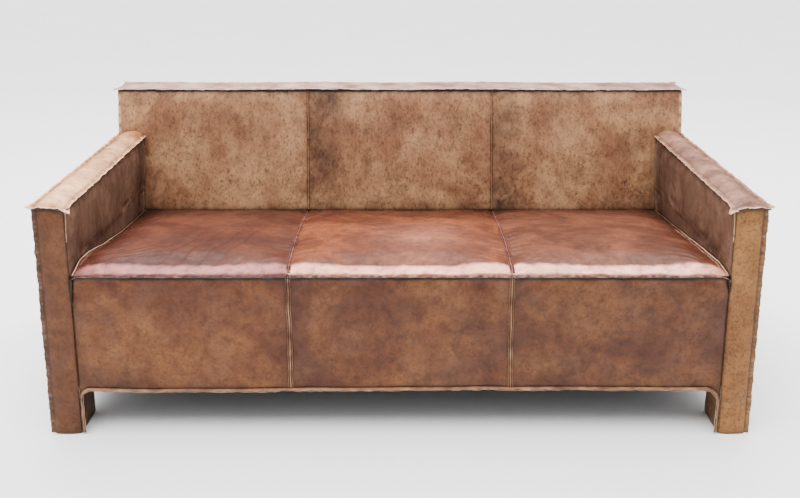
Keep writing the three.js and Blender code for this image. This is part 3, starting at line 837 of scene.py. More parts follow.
APRON_FANS = {
    "left": [((-0.90, 0.46), (-80, -20), 0.16, 3, 0.0012)],
    "centre": [],
    "right": [((0.90, 0.46), (-160, -100), 0.14, 3, 0.0012)],
}
apron_edges = {"left": (-LEG_LINE, -SEAM), "centre": (-SEAM, SEAM), "right": (SEAM, LEG_LINE)}
for number, panel in enumerate(PANELS):
    x0, x1 = apron_edges[panel]

    def apron_base(u, v):
        x = x0 + (x1 - x0) * u
        bottom = hem_height(x)
        return Vector((x, FRONT, bottom + (APRON_TOP - bottom) * v))

    swell = billow(apron_base, (0, -1, 0), 60, 34, rim, 0.12, 0.004, 0.005)

    def place_apron(u, v):
        spot = apron_base(u, v) + swell(u, v)
        edge = min(u, 1 - u) * (x1 - x0)
        top = (1 - v) * (APRON_TOP - UNDERSIDE)
        low = v * (APRON_TOP - UNDERSIDE)
        spot.y -= 0.002 * (1 - (2 * u - 1) ** 6) * (1 - (2 * v - 1) ** 6)
        spot.y -= 0.0012 * waver(spot, 0.13, number + 20) + 0.0005 * waver(spot, 0.04, number + 24)
        spot.y -= pucker(spot.x, top, 0.024, 0.001, 0.05, number + 30)
        spot.y -= pucker(spot.x, low, 0.03, 0.0008, 0.04, number + 35)
        spot.y -= pucker(spot.z, edge, 0.03, 0.0008, 0.04, number + 40)
        spot.y -= crease_fans(Vector((spot.x, spot.z, 0)), APRON_FANS[panel])
        spot.y += 0.002 * near(edge, 0.012) + 0.002 * near(low, 0.01)
        spot.y = min(spot.y, FRONT + 0.0012)
        return spot

    def apron_wear_and_shade(u, v, spot):
        edge = min(u, 1 - u) * (x1 - x0)
        soot_and_shade = 0.5 * near(math.hypot((spot.x + 0.82) / 1.3, spot.z - 0.17), 0.12)
        # Darker under the seat's edge and along the hem: painted shade
        soot_and_shade += 0.28 * near(APRON_TOP - spot.z, 0.06) * (0.6 + 0.6 * waver(spot, 0.12, number))
        soot_and_shade += 0.25 * near(spot.z - UNDERSIDE, 0.03) + 0.14 * number
        slit = math.hypot(LEG_LINE - abs(spot.x), (spot.z - 0.458) * 0.32)
        # Painted shade near the panels' edges, under the seat's raw edge and in the slit beside each
        # leg
        painted_shade = 0.35 * near(edge, 0.03) + 0.2 * near(edge, 0.10) * (0.5 + 0.5 * waver(spot, 0.06, 2))
        painted_shade += 1.3 * near(APRON_TOP - 0.006 - spot.z, 0.012) + 1.2 * near(slit, 0.014)
        rubbed_and_sheen = 0.04 * max(0, waver(spot, 0.09, number + 3))
        return max(0.0, min(0.8, soot_and_shade)), rubbed_and_sheen, min(1.0, painted_shade)

    cloth = lay_grid(120, 68, place_apron, (0, -1, 0), apron_wear_and_shade)
    width, height = x1 - x0, APRON_TOP - UNDERSIDE + (0.0 if panel == "centre" else FILLET)
    cover(
        f"apron_cover_{panel}", cloth, [apron_hide], f"apron_panel_{panel}",
    )

for side, sign in SIDES.items():

    def apron_spine(t):
        z = UNDERSIDE + 0.002 + (APRON_TOP - UNDERSIDE - 0.004) * t
        lean = 0.004 * waver((0, 0, z), 0.3, sign)
        return Vector((sign * SEAM + lean * (1 - t), FRONT - 0.0012, z))

    seam_strip(
        f"apron_seam_{side}", apron_spine, lambda t: Vector((0, -1, 0)), (0, -1, 0), 96, apron_hide,
        9.0 + sign, 0.8,
    )


FLANGE = 0.0085  # how wide a raw edge stands
FLANGE_WALL = 0.0016


def raw_flange(
    name, line, outward, lift, width, droop, hide, facing, seed, along,
    ears=(), taper=0.0, rubbed_and_sheen=0.3, soot_and_shade=0.0, edge=None,
):
    """A raw edge left standing outside a seam: a ragged, ruffled strip of hide whose cut edge shows.
    It leaves line(t) along outward(t), ruffles along lift, and stands droop of its width out of line.
    Ears are the shares of its length where it is pulled wide, and it narrows by taper to its end.
    Rubbed is how pale its edge is worn and soot how dark it is: soot and painted shade, and above 0.9
    near-black as the shade under the edge above it."""
    lift = Vector(lift)

    def place(u, v):
        spot = line(v)
        away = outward(v)
        corner = max((near(v - share, 0.018) for share in ears), default=0.0)
        wide = width * u * (1 + ragged(spot, seed)) * (1 + corner) * (1 - taper * v)
        return spot + away * wide + lift * (ruffle(spot, seed) * u * u + droop * width * u)

    def wear_shade_and_sheen(u, v, spot):
        worn_and_sheen = rubbed_and_sheen * (0.4 + u) * (0.8 + 0.6 * waver(spot, 0.025, seed))
        # Flanges under another edge are painted near-black as the shade there; others darken towards
        # their root with painted shade
        painted_shade = 0.92 if soot_and_shade > 0.9 else 0.35 * (1 - u) + 0.2 * waver(spot, 0.03, seed + 1)
        return soot_and_shade, max(0.0, worn_and_sheen), max(0.0, painted_shade)

    strip = lay_grid(4, along, place, facing, wear_shade_and_sheen)
    make_piece(name, strip, [hide, edge or grubby_edge], FLANGE_WALL)


def straight(*direction):
    """The same direction all along an edge."""
    return lambda t: Vector(direction)


def under_seat_edge(t):
    spot = Vector((-ARM_IN + 0.004, FRONT, 0)).lerp(Vector((ARM_IN - 0.004, FRONT, 0)), t)
    spot.z = APRON_TOP - 0.0035 - 0.012 * near(ARM_IN - abs(spot.x), 0.03)
    return spot


# The apron's raw top edge, painted near-black as the shade under the seat's edge
raw_flange(
    "apron_top_flange", under_seat_edge, straight(0, -1, 0), (0, 0, 1), 0.0065, -0.35, apron_hide,
    (0, 0, -1), 31.0, 520, rubbed_and_sheen=0.0, soot_and_shade=0.95, edge=apron_hide,
)

# Hem: the apron and the legs' inner sides are sewn to a facing, raw edges out, in one run from
# foot to foot. Two layers of hide show their cut edges.
hem_points = []
for sign in SIDES.values():
    radius = HEM_ROUND[sign]
    corner = []
    for step in range(9):
        turn = math.pi / 2 * step / 8
        x = sign * (LEG_LINE - radius + radius * math.cos(turn))
        corner.append((x, FRONT, UNDERSIDE - radius + radius * math.sin(turn)))
    down = [(sign * LEG_LINE, FRONT, 0.006), (sign * LEG_LINE, FRONT, 0.05), *corner]
    hem_points += down if sign < 0 else down[::-1]
hem_line = runner([Vector(point) for point in hem_points])


def hem_inside(t):
    """The direction from the hem into the opening below the apron."""
    run = (hem_line(min(1.0, t + 0.004)) - hem_line(max(0.0, t - 0.004))).normalized()
    return Vector((run.z, 0, -run.x))


for layer, seed, push, width in (("outer", 41.0, 0.0, FLANGE), ("inner", 47.0, 0.0042, 0.0075)):

    def hem_at(t):
        spot = hem_line(t)
        spot.z += hem_bow(spot.x) * min(1.0, spot.z / UNDERSIDE) + 0.0012 * (spot.z > 0.1)
        return spot + hem_inside(t) * push + Vector((0, push * 0.4 - 0.001, 0))

    raw_flange(
        f"hem_flange_{layer}", hem_at,
        lambda t: (hem_inside(t) * 0.75 + Vector((0, -0.65, 0))).normalized(),
        (0, -0.7, 0), width, 0.0, apron_hide, (0, -0.3, 1), seed, 620, rubbed_and_sheen=0.32,
    )


# Arms: a narrow box of hide panels over a padded rail. The front panel runs down to the floor and
# the top panel is a long thin pillow, its raw edges frilled all round and pulled to ears at the
# front corners.
arm_tones = {
    "left": ("#34190b", "#512d15", "#653d1f", "#b99c7c"),
    "right": ("#533014", "#764b24", "#8b6133", "#cdb18a"),
}
# The tops' paler tones are partly painted sheen
top_tones = {
    "left": ("#6e3c20", "#9c623a", "#bc8252", "#fcc298"),
    "right": ("#482a1e", "#6c4636", "#845e4c", "#c08c74"),
}
arm_hide = {
    side: worn_hide(f"waxed_hide_{side}_arm", arm_tones[side], veins, haze, (0.42, 0.62), 0.6, 0.2)
    for side, veins, haze in (("left", 0.3, 0.3), ("right", 0.4, 0.2))
}
top_hides = {
    side: worn_hide(f"waxed_hide_{side}_arm_top", top_tones[side], veins, haze, (0.4, 0.56), 0.5, 0.15)
    for side, veins, haze in (("left", 0.2, 0.15), ("right", 0.3, 0.35))
}
inner_tones = ("#442d23", "#614437", "#775946", "#a98672")
inner_hide = worn_hide(
    "waxed_hide_inner_arm", inner_tones, 0.2, 0.4, (0.44, 0.66), 0.6, 0.25, (1, 1, 0.75)
)
ARM_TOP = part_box("arm_top_panel_right")[0].z + 0.0018
ARM_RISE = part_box("arm_top_panel_right")[1].z - ARM_TOP
ARM_WIDTH = 0.079
SIDE_TOP = ARM_TOP - 0.005  # where the arm's side and front panels end under its top
FLOOR_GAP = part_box("arm_front_panel_right")[0].z
OUTER_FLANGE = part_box("arm_front_panel_right")[1].x - ARM_OUT
back_low, back_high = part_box("back_panel_centre")
LEAN = (back_high.y - LEATHER - back_low.y) / (back_high.z - back_low.z)
RIM, MIDDLE = 0.14, 0.72  # shares of the arm top's width on each raw edge and between them
RIM_PAST = 0.1944  # how far a raw edge runs past the middle, as a share of the middle
END_RIM = 0.014  # share of its length on the raw edge in front


def arm_droop(x, y):
    """How far the top of an arm hangs below its rail, at the inner front corner."""
    across = (abs(x) - ARM_IN) / (ARM_OUT - ARM_IN)
    return 0.007 * near(max(0.0, y - FRONT), 0.05) * near(max(0.0, across), 0.5)


def back_face(z):
    """Y of the raked front of the back at a height."""
    return back_low.y + (z - back_low.z) * LEAN


for side, sign in SIDES.items():

    def arm_top_base(u, v):
        across = (u - RIM) / MIDDLE
        into = min(1.0, max(0.0, across))
        out = max(0.0, -across) / RIM_PAST
        inward = max(0.0, across - 1) / RIM_PAST
        along = max(0.0, (v - END_RIM) / (1 - END_RIM))
        ahead = max(0.0, 1 - v / END_RIM)
        x = ARM_OUT - (ARM_OUT - ARM_IN) * into
        y = FRONT + 0.001 + (back_face(ARM_TOP) - GAP - FRONT) * along
        spot = Vector((sign * x, y, ARM_TOP))
        seed = 60.0 + 10 * sign
        wide = 1 + ragged(spot, seed)
        ear = 1 + (0.35 * out + 0.7 * inward) * near(y - FRONT, 0.016)
        ear += 0.8 * ahead * max(near(into, 0.14), near(1 - into, 0.14))
        if out:
            spot.x += sign * 0.0095 * out * wide * ear
            spot.z += 0.005 * out
        if inward:
            spot.x -= sign * 0.0105 * inward * wide * ear
            spot.z -= 0.005 * inward
        if ahead:
            spot.y -= 0.009 * ahead * wide * ear
            spot.z -= ahead * (0.002 + 0.0024 * waver(spot, 0.012, 61))
        edge = max(out, inward, ahead)
        if edge:
            spot.z += ruffle(spot, seed) * edge
        else:
            front_ease = 1 - near(y - FRONT, 0.035)
            spot.z += ARM_RISE * (1 - abs(2 * into - 1) ** 2.6) * (0.15 + 0.85 * front_ease)
        spot.z -= arm_droop(x, y)
        return spot

    def held(u, v):
        return u < 0.15 or u > 0.85 or v < 0.02 or v > 0.99

    swell = billow(arm_top_base, (0, 0, 1), 28, 140, held, 1.2, 0.012, 0.004)

    def place_arm_top(u, v):
        spot = arm_top_base(u, v)
        inside = min((u - RIM) / MIDDLE, (1 - RIM - u) / MIDDLE) * ARM_WIDTH
        if inside > 0 and v > END_RIM:
            spot += swell(u, v)
            spot.z += pucker(spot.y, inside, 0.02, 0.0010, 0.03, 70 + sign)
            spot.z += 0.0014 * waver(spot, 0.07, 75 + sign) + 0.0006 * waver(spot, 0.02, 76)
            spot.z -= 0.0012 * near(inside, 0.006)
        return spot

    def arm_top_wear_shade_and_sheen(u, v, spot):
        across = (u - RIM) / MIDDLE
        if max(0.0, -across, across - 1) > 0 or v < END_RIM:
            top_rub_and_sheen = 0.2 + 0.4 * waver(spot, 0.02, 81) + 0.7 * (min(u, 1 - u) < 0.04 or v < 0.004)
        else:
            # The left top is paler towards the front: partly rubbing, partly a painted highlight
            top_rub_and_sheen = 0.2 if sign > 0 else 0.7 - 0.65 * (spot.y - FRONT)
            top_rub_and_sheen += 0.3 * waver(spot, 0.06, 80 + sign)
        seam = min(abs(across), abs(1 - across)) * ARM_WIDTH
        # Painted shade along the seams, where the top meets the back, and at the front seam
        painted_shade = 0.55 * near(seam, 0.006) + 0.8 * near(back_face(ARM_TOP) - spot.y, 0.016)
        painted_shade += 0.4 * near(spot.y - FRONT - 0.004, 0.006)
        soot_and_shade = 0.3 * near(across, 0.34)
        if sign > 0:
            soot_and_shade += 0.3 * max(0.0, waver(spot, 0.12, 82))
        return soot_and_shade, max(0.0, top_rub_and_sheen), max(0.0, min(1.0, painted_shade))

    cloth = lay_grid(34, 270, place_arm_top, (0, 0, 1), arm_top_wear_shade_and_sheen)
    hides = [top_hides[side], cut_edge]
    cover(f"arm_top_cover_{side}", cloth, hides, f"arm_top_panel_{side}")

    # The side panels' raw edges, turned out under those of the top and painted dark as the shade
    # beneath them
    y_rear, y_front = back_face(ARM_TOP) - 0.004, FRONT + 0.001
    inner, outer = ARM_IN + 0.001, ARM_OUT - 0.001
    corners = [(inner, y_rear), (inner, y_front), (outer, y_front), (outer, y_rear)]
    trip = [Vector((sign * x, y, ARM_TOP - 0.004)) for x, y in corners]
    total = length_of(trip)
    first, second = (trip[1] - trip[0]).length / total, 1 - (trip[3] - trip[2]).length / total
    round_arm = runner(trip)

    def arm_top_edge(t):
        spot = round_arm(t)
        return spot - Vector((0, 0, arm_droop(spot.x, spot.y)))

    def away_from_arm(t):
        """Inwards, then ahead, then outwards, with a turn of 0.006 of the trip at each corner."""
        turn = 0.006
        inside, ahead, outside = Vector((-sign, 0, 0)), Vector((0, -1, 0)), Vector((sign, 0, 0))
        if t < first - turn:
            return inside
        if t < first + turn:
            return (inside.lerp(ahead, (t - first + turn) / (2 * turn))).normalized()
        if t < second - turn:
            return ahead
        if t < second + turn:
            return (ahead.lerp(outside, (t - second + turn) / (2 * turn))).normalized()
        return outside

    raw_flange(
        f"arm_side_flange_{side}", arm_top_edge, away_from_arm, (0, 0, 1), FLANGE, -0.35,
        arm_hide[side], (0, 0, -1), 90.0 + sign, 560, ears=(first, second), rubbed_and_sheen=0.0, soot_and_shade=0.9,
        edge=arm_hide[side],
    )

    # Front panel, whose outer edge is left standing as a flange
    def place_front(u, v):
        x = ARM_IN + 0.0005 + (ARM_OUT + OUTER_FLANGE - ARM_IN - 0.0005) * u
        z = FLOOR_GAP + (SIDE_TOP - arm_droop(x, FRONT) - FLOOR_GAP) * v
        spot = Vector((sign * x, FRONT, z))
        inside = (ARM_OUT - x) / (ARM_OUT - ARM_IN)
        if x > ARM_OUT:
            share = (x - ARM_OUT) / OUTER_FLANGE
            spot.x += sign * share * 0.0015 * waver((0, 0, z), 0.024, 95 + sign)
            spot.x += sign * share * 0.0012 * waver((0, 0, z), 0.009, 96 + sign)
            spot.y -= ruffle((sign, 0, z), 97) * share * 0.8 + 0.001 * share
        else:
            spot.y -= 0.005 * (1 - abs(2 * inside - 1) ** 3) * min(1, (ARM_TOP - z) / 0.05)
            spot.y -= 0.0012 * waver(spot, 0.09, 98 + sign) + 0.0005 * waver(spot, 0.03, 99)
            spot.y -= pucker(z, ARM_OUT - x, 0.02, 0.0008, 0.025, 100 + sign)
            spot.y -= pucker(x, ARM_TOP - z, 0.015, 0.0012, 0.04, 101 + sign)
        spot.y += 0.0022 * near(x - ARM_OUT + 0.002, 0.004) + 0.0022 * near(x - ARM_IN, 0.005)
        return spot

    def front_wear_and_shade(u, v, spot):
        x, z = abs(spot.x), spot.z
        rubbed_and_sheen = 0.0
        # Darker near the floor, under the arm's top and at its edges: painted shade, with sooty patches
        soot_and_shade = 0.35 * near(z, 0.035) + 0.3 * near(ARM_TOP - z, 0.05)
        if x > ARM_OUT - 0.001:
            rubbed_and_sheen = 0.06 + 0.25 * waver((0, 0, z), 0.008, 102 + sign)
            soot_and_shade = max(soot_and_shade, 0.3 - 0.3 * waver((0, 0, z), 0.013, 103 + sign))
        soot_and_shade += 0.22 * near(ARM_OUT - x, 0.016) + 0.3 * near(x - ARM_IN, 0.012)
        # Painted shade along the seams, in the slit beside the apron and under the arm's top
        painted_shade = 0.8 * near(x - ARM_OUT + 0.002, 0.0035)
        painted_shade += (0.9 if z > 0.45 else 0.5) * near(x - ARM_IN, 0.006)
        painted_shade += 1.1 * near(math.hypot(x - ARM_IN, (z - 0.452) * 0.25), 0.012)
        painted_shade += 1.2 * near(ARM_TOP - 0.007 - arm_droop(x, FRONT) - z, 0.014)
        return min(0.8, soot_and_shade), max(0.0, rubbed_and_sheen), min(1.0, painted_shade)

    cloth = lay_grid(34, 190, place_front, (0, -1, 0), front_wear_and_shade)
    cover(
        f"arm_front_cover_{side}", cloth, [arm_hide[side], grubby_edge], f"arm_front_panel_{side}",
    )

    # Inner panel, tucked down beside the seat and pulled in at the back
    low_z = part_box(f"arm_inner_panel_{side}")[0].z

    def inner_base(u, v):
        z = low_z + (SIDE_TOP - low_z) * v
        y0, y1 = FRONT + 0.0006, back_face(z) - GAP
        y = y0 + (y1 - y0) * u
        return Vector((sign * ARM_IN, y, z - arm_droop(ARM_IN, y) * v))

    def held(u, v):
        return v < 0.36 or rim(u, v)

    swell = billow(inner_base, (-sign, 0, 0), 84, 30, held, 0.25, 0.012, 0.005)

    def place_inner(u, v):
        spot = inner_base(u, v)
        z, rear = spot.z, (1 - u) * 0.8
        spot += swell(u, v)
        out = 0.0012 * waver(spot, 0.10, 110 + sign)
        out += 0.0006 * waver((0, spot.y * 2.0, z), 0.06, 111 + sign)
        above = z - seat_height(ARM_IN, spot.y - FRONT, sign)
        out += 0.004 * min(1, u * 14, (1 - u) * 10, max(0.0, above) * 16, (1 - v) * 6)
        out += 0.009 * near(rear - 0.032, 0.026) * (0.7 + 0.3 * waver((0, 0, z), 0.06, 112))
        out -= 0.004 * near(rear - 0.075, 0.022)
        out += pucker(spot.y, ARM_TOP - z, 0.02, 0.0011, 0.04, 113 + sign)
        spot.x -= sign * min(0.012, max(out, -0.0015))
        return spot

    def inner_wear_shade_and_sheen(u, v, spot):
        rear = (1 - u) * 0.8
        streak = waver((0, spot.y * 1.6, spot.z * 0.7), 0.11, 116 + sign)
        # Darker towards the back and under the top: painted shade, with sooty streaks
        soot_and_shade = 0.12 + 0.2 * max(0, streak) + 0.3 * near(rear, 0.2)
        soot_and_shade += 0.3 * near(ARM_TOP - spot.z, 0.05)
        # The pale strip on the ridge at the back: partly rubbing, partly a painted highlight
        rubbed_and_sheen = 0.5 * near(rear - 0.032, 0.016) + 0.12 * max(0, -streak)
        # Painted shade at the back, in the fold, at the front edge, under the top and along the seat
        painted_shade = 0.4 * near(rear, 0.02) + 0.4 * near(rear - 0.075, 0.02) + 0.9 * near(rear - 0.8, 0.006)
        painted_shade += 1.1 * near(ARM_TOP - 0.006 - spot.z, 0.016)
        painted_shade += 1.1 * near(spot.z - seat_height(ARM_IN, spot.y - FRONT, sign) - 0.003, 0.014)
        return min(0.8, soot_and_shade), rubbed_and_sheen, min(1.0, painted_shade)

    cloth = lay_grid(200, 62, place_inner, (-sign, 0, 0), inner_wear_shade_and_sheen)
    cover(
        f"arm_inner_cover_{side}", cloth, [inner_hide], f"arm_inner_panel_{side}",
        thickness=LEATHER - 0.0004,
    )

    # Outer panel, flat over the frame
    def place_outer(u, v):
        z = UNDERSIDE + (SIDE_TOP - UNDERSIDE) * v
        y = FRONT + 0.003 + (REAR - 0.003 - FRONT - 0.003) * u
        spot = Vector((sign * ARM_OUT, y, z))
        full = min(1, u * 12, (1 - u) * 12, v * 8, (1 - v) * 8)
        out = 0.003 * full + 0.0016 * waver(spot, 0.16, 120 + sign) * full
        out += 0.0006 * waver(spot, 0.045, 121) + pucker(y, ARM_TOP - z, 0.024, 0.001, 0.05, 122)
        out += pucker(y, z - UNDERSIDE, 0.03, 0.001, 0.04, 123)
        spot.x += sign * max(0.0, out)
        return spot

    def outer_wear_and_shade(u, v, spot):
        # Darker at the bottom and under the top, with sooty patches; painted shade at the front and
        # rear edges and under the top
        soot_and_shade = 0.3 * near(spot.z - UNDERSIDE, 0.05) + 0.2 * near(ARM_TOP - spot.z, 0.05)
        soot_and_shade += 0.12 + 0.25 * max(0, waver(spot, 0.2, 124 + sign))
        painted_shade = 0.6 * near(min(u, 1 - u), 0.014) + 0.8 * near(ARM_TOP - 0.006 - spot.z, 0.014)
        return soot_and_shade, 0.12 * max(0, waver(spot, 0.12, 125)), min(1.0, painted_shade)

    cloth = lay_grid(150, 86, place_outer, (sign, 0, 0), outer_wear_and_shade)
    cover(
        f"arm_outer_cover_{side}", cloth, [arm_hide[side], cut_edge], f"arm_outer_panel_{side}",
    )

    # The raw edges of the front panel's inner seam, at the top of the arm
    for layer, (name, hide) in enumerate((("front", arm_hide[side]), ("side", inner_hide))):
        raw_flange(
            f"arm_inner_flange_{name}_{side}",
            lambda t: Vector(
                (sign * (ARM_IN + 0.001), FRONT - 0.0005 + 0.003 * layer, 0.672 - 0.09 * t)
            ),
            lambda t: Vector((-sign * (0.9 - 0.5 * t), -0.55 - 0.3 * t, 0)).normalized(),
            (-sign * 0.5, -0.8, 0), FLANGE - 0.001 * layer, -0.2 * layer, hide,
            (-sign * 0.3, -1, 0), 130.0 + layer * 7 + sign, 60, taper=0.8, rubbed_and_sheen=0.2,
        )

    # The tuck where the seat's edge, the apron and the arm meet, painted near-black as the shade in
    # that corner
    foot = 0.405 if sign < 0 else 0.442
    raw_flange(
        f"seat_corner_tuck_{side}",
        lambda t: Vector((sign * (ARM_IN + 0.002), FRONT - 0.002, 0.476 + (foot - 0.476) * t)),
        lambda t: Vector((-sign * 0.85, -0.5, 0)).normalized(),
        (0, -1, 0), 0.012, 0.1, apron_hide, (-sign * 0.5, -1, 0), 140.0 + sign, 40,
        taper=0.6, rubbed_and_sheen=0.0, soot_and_shade=0.97, edge=apron_hide,
    )


# Leg sleeves: hide wrapped round the legs and closed at the arm's front panel or down a rear
# corner, ending just off the floor.
SLEEVE_DEPTH = 0.1278  # how far a front sleeve reaches back from the apron's face


def sleeve_wear(u, v, spot):
    return 0.35 + 0.35 * near(spot.z, 0.04), 0.15 * max(0, waver(spot, 0.03, 141)), 0.0


for side, sign in SIDES.items():
    low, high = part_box(f"rear_leg_sleeve_{side}")
    x0, x1, y0, y1 = ARM_IN, ARM_OUT, low.y, high.y
    soft = 0.004  # how much the sleeve rounds the leg's corners
    channel = [
        (x0 + 0.0005, FRONT + 0.003),
        (x0 + 0.0005, FRONT + 0.122),
        (x0 + 0.006, FRONT + SLEEVE_DEPTH),
        (x1 - 0.006, FRONT + SLEEVE_DEPTH),
        (x1, FRONT + 0.122),
        (x1, FRONT + 0.003),
    ]
    ring = [
        (x1 - 0.001, y1 - 0.001),
        (x1, y1 - soft),
        (x1, y0 + soft),
        (x1 - soft, y0),
        (x0 + soft, y0),
        (x0, y0 + soft),
        (x0, y1 - soft),
        (x0 + soft, y1),
        (x1 - 0.0015, y1 - 0.0006),
    ]
    for leg, outline, middle, columns, wobble, seed, post in (
        ("front", channel, FRONT + 0.06, 96, 0.0008, 140, "front_post"),
        ("rear", ring, (y0 + y1) / 2, 110, 0.0007, 142, "back_post"),
    ):
        wrap = runner([Vector((sign * x, y, 0)) for x, y in outline])

        def place_sleeve(u, v):
            spot = wrap(u)
            spot.z = FLOOR_GAP + (UNDERSIDE - 0.0006 - FLOOR_GAP) * v
            centre = Vector((sign * (x0 + x1) / 2, middle, spot.z))
            return spot + (spot - centre).normalized() * wobble * waver(spot, 0.04, seed)

        cloth = lay_grid(columns, 36, place_sleeve, None, sleeve_wear)
        if (sign > 0) == (leg == "front"):
            bmesh.ops.reverse_faces(cloth, faces=cloth.faces)
        flat = (length_of([Vector((x, y, 0)) for x, y in outline]), UNDERSIDE - FLOOR_GAP)
        cover(
            f"{leg}_leg_cover_{side}", cloth, [arm_hide[side], cut_edge], f"{leg}_leg_sleeve_{side}",
        )


# Back: three raked front panels over foam, cut round the arms, a boxing strip along the top, an end
# panel above each arm and one wide panel behind. All their seams have the raw edges outside.
back_tones = ("#5c3a26", "#8c6044", "#b0845e", "#c9a27e")
outside_tones = ("#3a2012", "#633a22", "#85552f", "#b08a68")
# The boxing's pale pink tones are partly painted sheen
boxing_tones = ("#6b4335", "#8d5f4f", "#a87868", "#dab0a0")
back_hide = worn_hide("waxed_hide_back", back_tones, 0.35, 0.4, (0.44, 0.62), 0.5, 0.2, (1, 1, 0.6))
outside_hide = worn_hide("waxed_hide_outside_back", outside_tones, 0.35, 0.35, (0.44, 0.62), 0.6, 0.2)
boxing_hide = worn_hide("waxed_hide_boxing", boxing_tones, 0.2, 0.3, (0.38, 0.54), 0.6, 0.3)
BACK_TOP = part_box("back_top_boxing")[1].z
BACK_SEAM = back_high.x
BACK_SEAMS = (-BACK_SEAM, BACK_SEAM)
BACK_LOW = back_low.z
BACK_HIGH = BACK_TOP - 0.0026
CREASE_TOP = 0.419  # height of the seat where it meets the back
NOTCH_TOP = ARM_TOP - 0.001
BACK_EDGE = ARM_OUT + 0.008  # how far out the back's raw sides stand
back_edges = {"left": (-BACK_EDGE, -BACK_SEAM), "centre": BACK_SEAMS, "right": (BACK_SEAM, BACK_EDGE)}
BACK_FANS = {
    "left": [((-0.90, 0.43), (20, 80), 0.25, 3, 0.0022), ((-0.33, 0.43), (100, 160), 0.2, 3, 0.0015)],
    "centre": [((-0.33, 0.43), (15, 75), 0.25, 3, 0.0015), ((0.33, 0.43), (105, 165), 0.22, 3, 0.0015)],
    "right": [((0.90, 0.43), (100, 160), 0.25, 3, 0.0022), ((0.33, 0.43), (15, 75), 0.2, 3, 0.0015)],
}
for number, panel in enumerate(PANELS):
    x0, x1 = back_edges[panel]
    notch_share = (NOTCH_TOP - BACK_LOW) / (BACK_HIGH - BACK_LOW)
    columns = 114
    outer = max(1, round((BACK_EDGE - ARM_IN) / (x1 - x0) * columns)) / columns

    def back_base(u, v):
        """Columns line up with the arm's inner face and rows with the notch over the arm."""
        z = BACK_LOW + (BACK_HIGH - BACK_LOW) * v
        x = x0 + (x1 - x0) * u
        if panel != "centre":
            share = u if panel == "left" else 1 - u
            if share < outer:
                x = BACK_EDGE - (BACK_EDGE - ARM_IN + 0.0005) * share / outer
            else:
                x = ARM_IN - 0.0005 - (ARM_IN - 0.0005 - BACK_SEAM) * (share - outer) / (1 - outer)
            x *= -1 if panel == "left" else 1
        return Vector((x, back_face(z), z))

    def held(u, v):
        share = 1.0 if panel == "centre" else (u if panel == "left" else 1 - u)
        on_arm = share <= outer + 0.004 and v < notch_share + 0.01
        return rim(u, v) or on_arm or share < 0.02

    swell = billow(back_base, (0, -1, 0.15), 66, 50, held, 0.35, 0.004, 0.007)

    def place_back(u, v):
        spot = back_base(u, v)
        x, z = spot.x, spot.z
        if abs(x) <= ARM_OUT:
            spot += swell(u, v)
        to_seam = min(abs(abs(x) - BACK_SEAM), 9.0)
        full = min(1.0, to_seam / 0.05, (BACK_HIGH - z) / 0.04, max(0, z - BACK_LOW) / 0.05)
        out = 0.005 * full**0.5
        out += 0.0014 * waver(spot, 0.13, 150 + number) + 0.0005 * waver(spot, 0.04, 151)
        out += pucker(x, BACK_HIGH - z, 0.022, 0.0013, 0.05, 152 + number)
        out += pucker(z, to_seam, 0.03, 0.0008, 0.05, 153 + number)
        out += crease_fans(Vector((x, z, 0)), BACK_FANS[panel])
        out += 0.0015 * near(z - CREASE_TOP - 0.03, 0.05)
        out -= 0.0035 * near(ARM_IN - abs(x) - 0.012, 0.016) * (z < ARM_TOP)
        out -= 0.003 * near(to_seam, 0.006)
        if abs(x) > ARM_OUT:
            share = (abs(x) - ARM_OUT) / 0.008
            sign = 1 if x > 0 else -1
            spot.x += sign * share * 0.0022 * ragged((0, 0, z * 1.0), 154) * 2
            out = 0.003 * share + ruffle((sign, 0, z), 155) * share
        spot.y -= max(out, -0.0008)
        return spot

    def back_wear_and_shade(u, v, spot):
        x, z = spot.x, spot.z
        right_of = min((x - seam for seam in BACK_SEAMS if x >= seam), default=9.0)
        left_of = min((seam - x for seam in BACK_SEAMS if x <= seam), default=9.0)
        cloudy = 0.75 + 0.5 * waver(spot, 0.12, 156)
        reach = 0.15 if panel == "centre" else 0.12
        smoke = min(1.0, 2.4 * max(0.0, 1 - right_of / reach))
        soot_and_shade = 0.66 * smoke * cloudy + 0.3 * near(left_of, 0.03)
        # Darker along the crease with the seat and in the corner by each arm: painted shade
        soot_and_shade += 0.35 * near(z - CREASE_TOP, 0.09) * cloudy
        soot_and_shade += 0.42 * near(math.hypot(ARM_IN - abs(x), (z - CREASE_TOP) * 0.7), 0.17)
        if panel == "right":
            soot_and_shade += 0.25 * near(BACK_HIGH - z, 0.05) + 0.16 * near(ARM_IN - x, 0.2)
        if panel == "left":
            soot_and_shade += 0.12 * near(BACK_HIGH - z, 0.05)
        rubbed_and_sheen = 0.10 * max(0, waver(spot, 0.10, 157 + number))
        if abs(x) > ARM_OUT - 0.001:
            rubbed_and_sheen = 0.6 + 0.8 * waver((0, 0, z), 0.02, 158)
            soot_and_shade = 0.4 - 0.8 * waver((0, 0, z), 0.02, 158)
        # Painted shade under the boxing, along the crease, beside the arms and along the seams and raw
        # sides
        painted_shade = 1.1 * near(BACK_HIGH - 0.004 - z, 0.015) + 1.1 * near(z - CREASE_TOP, 0.02)
        painted_shade += 0.35 * near(ARM_IN - abs(x), 0.02) * (z < ARM_TOP) + 0.6 * near(right_of, 0.005)
        painted_shade += 0.6 * near(abs(abs(x) - ARM_OUT), 0.003)
        return max(0.0, min(0.85, soot_and_shade)), max(0.0, rubbed_and_sheen), min(1.0, painted_shade)

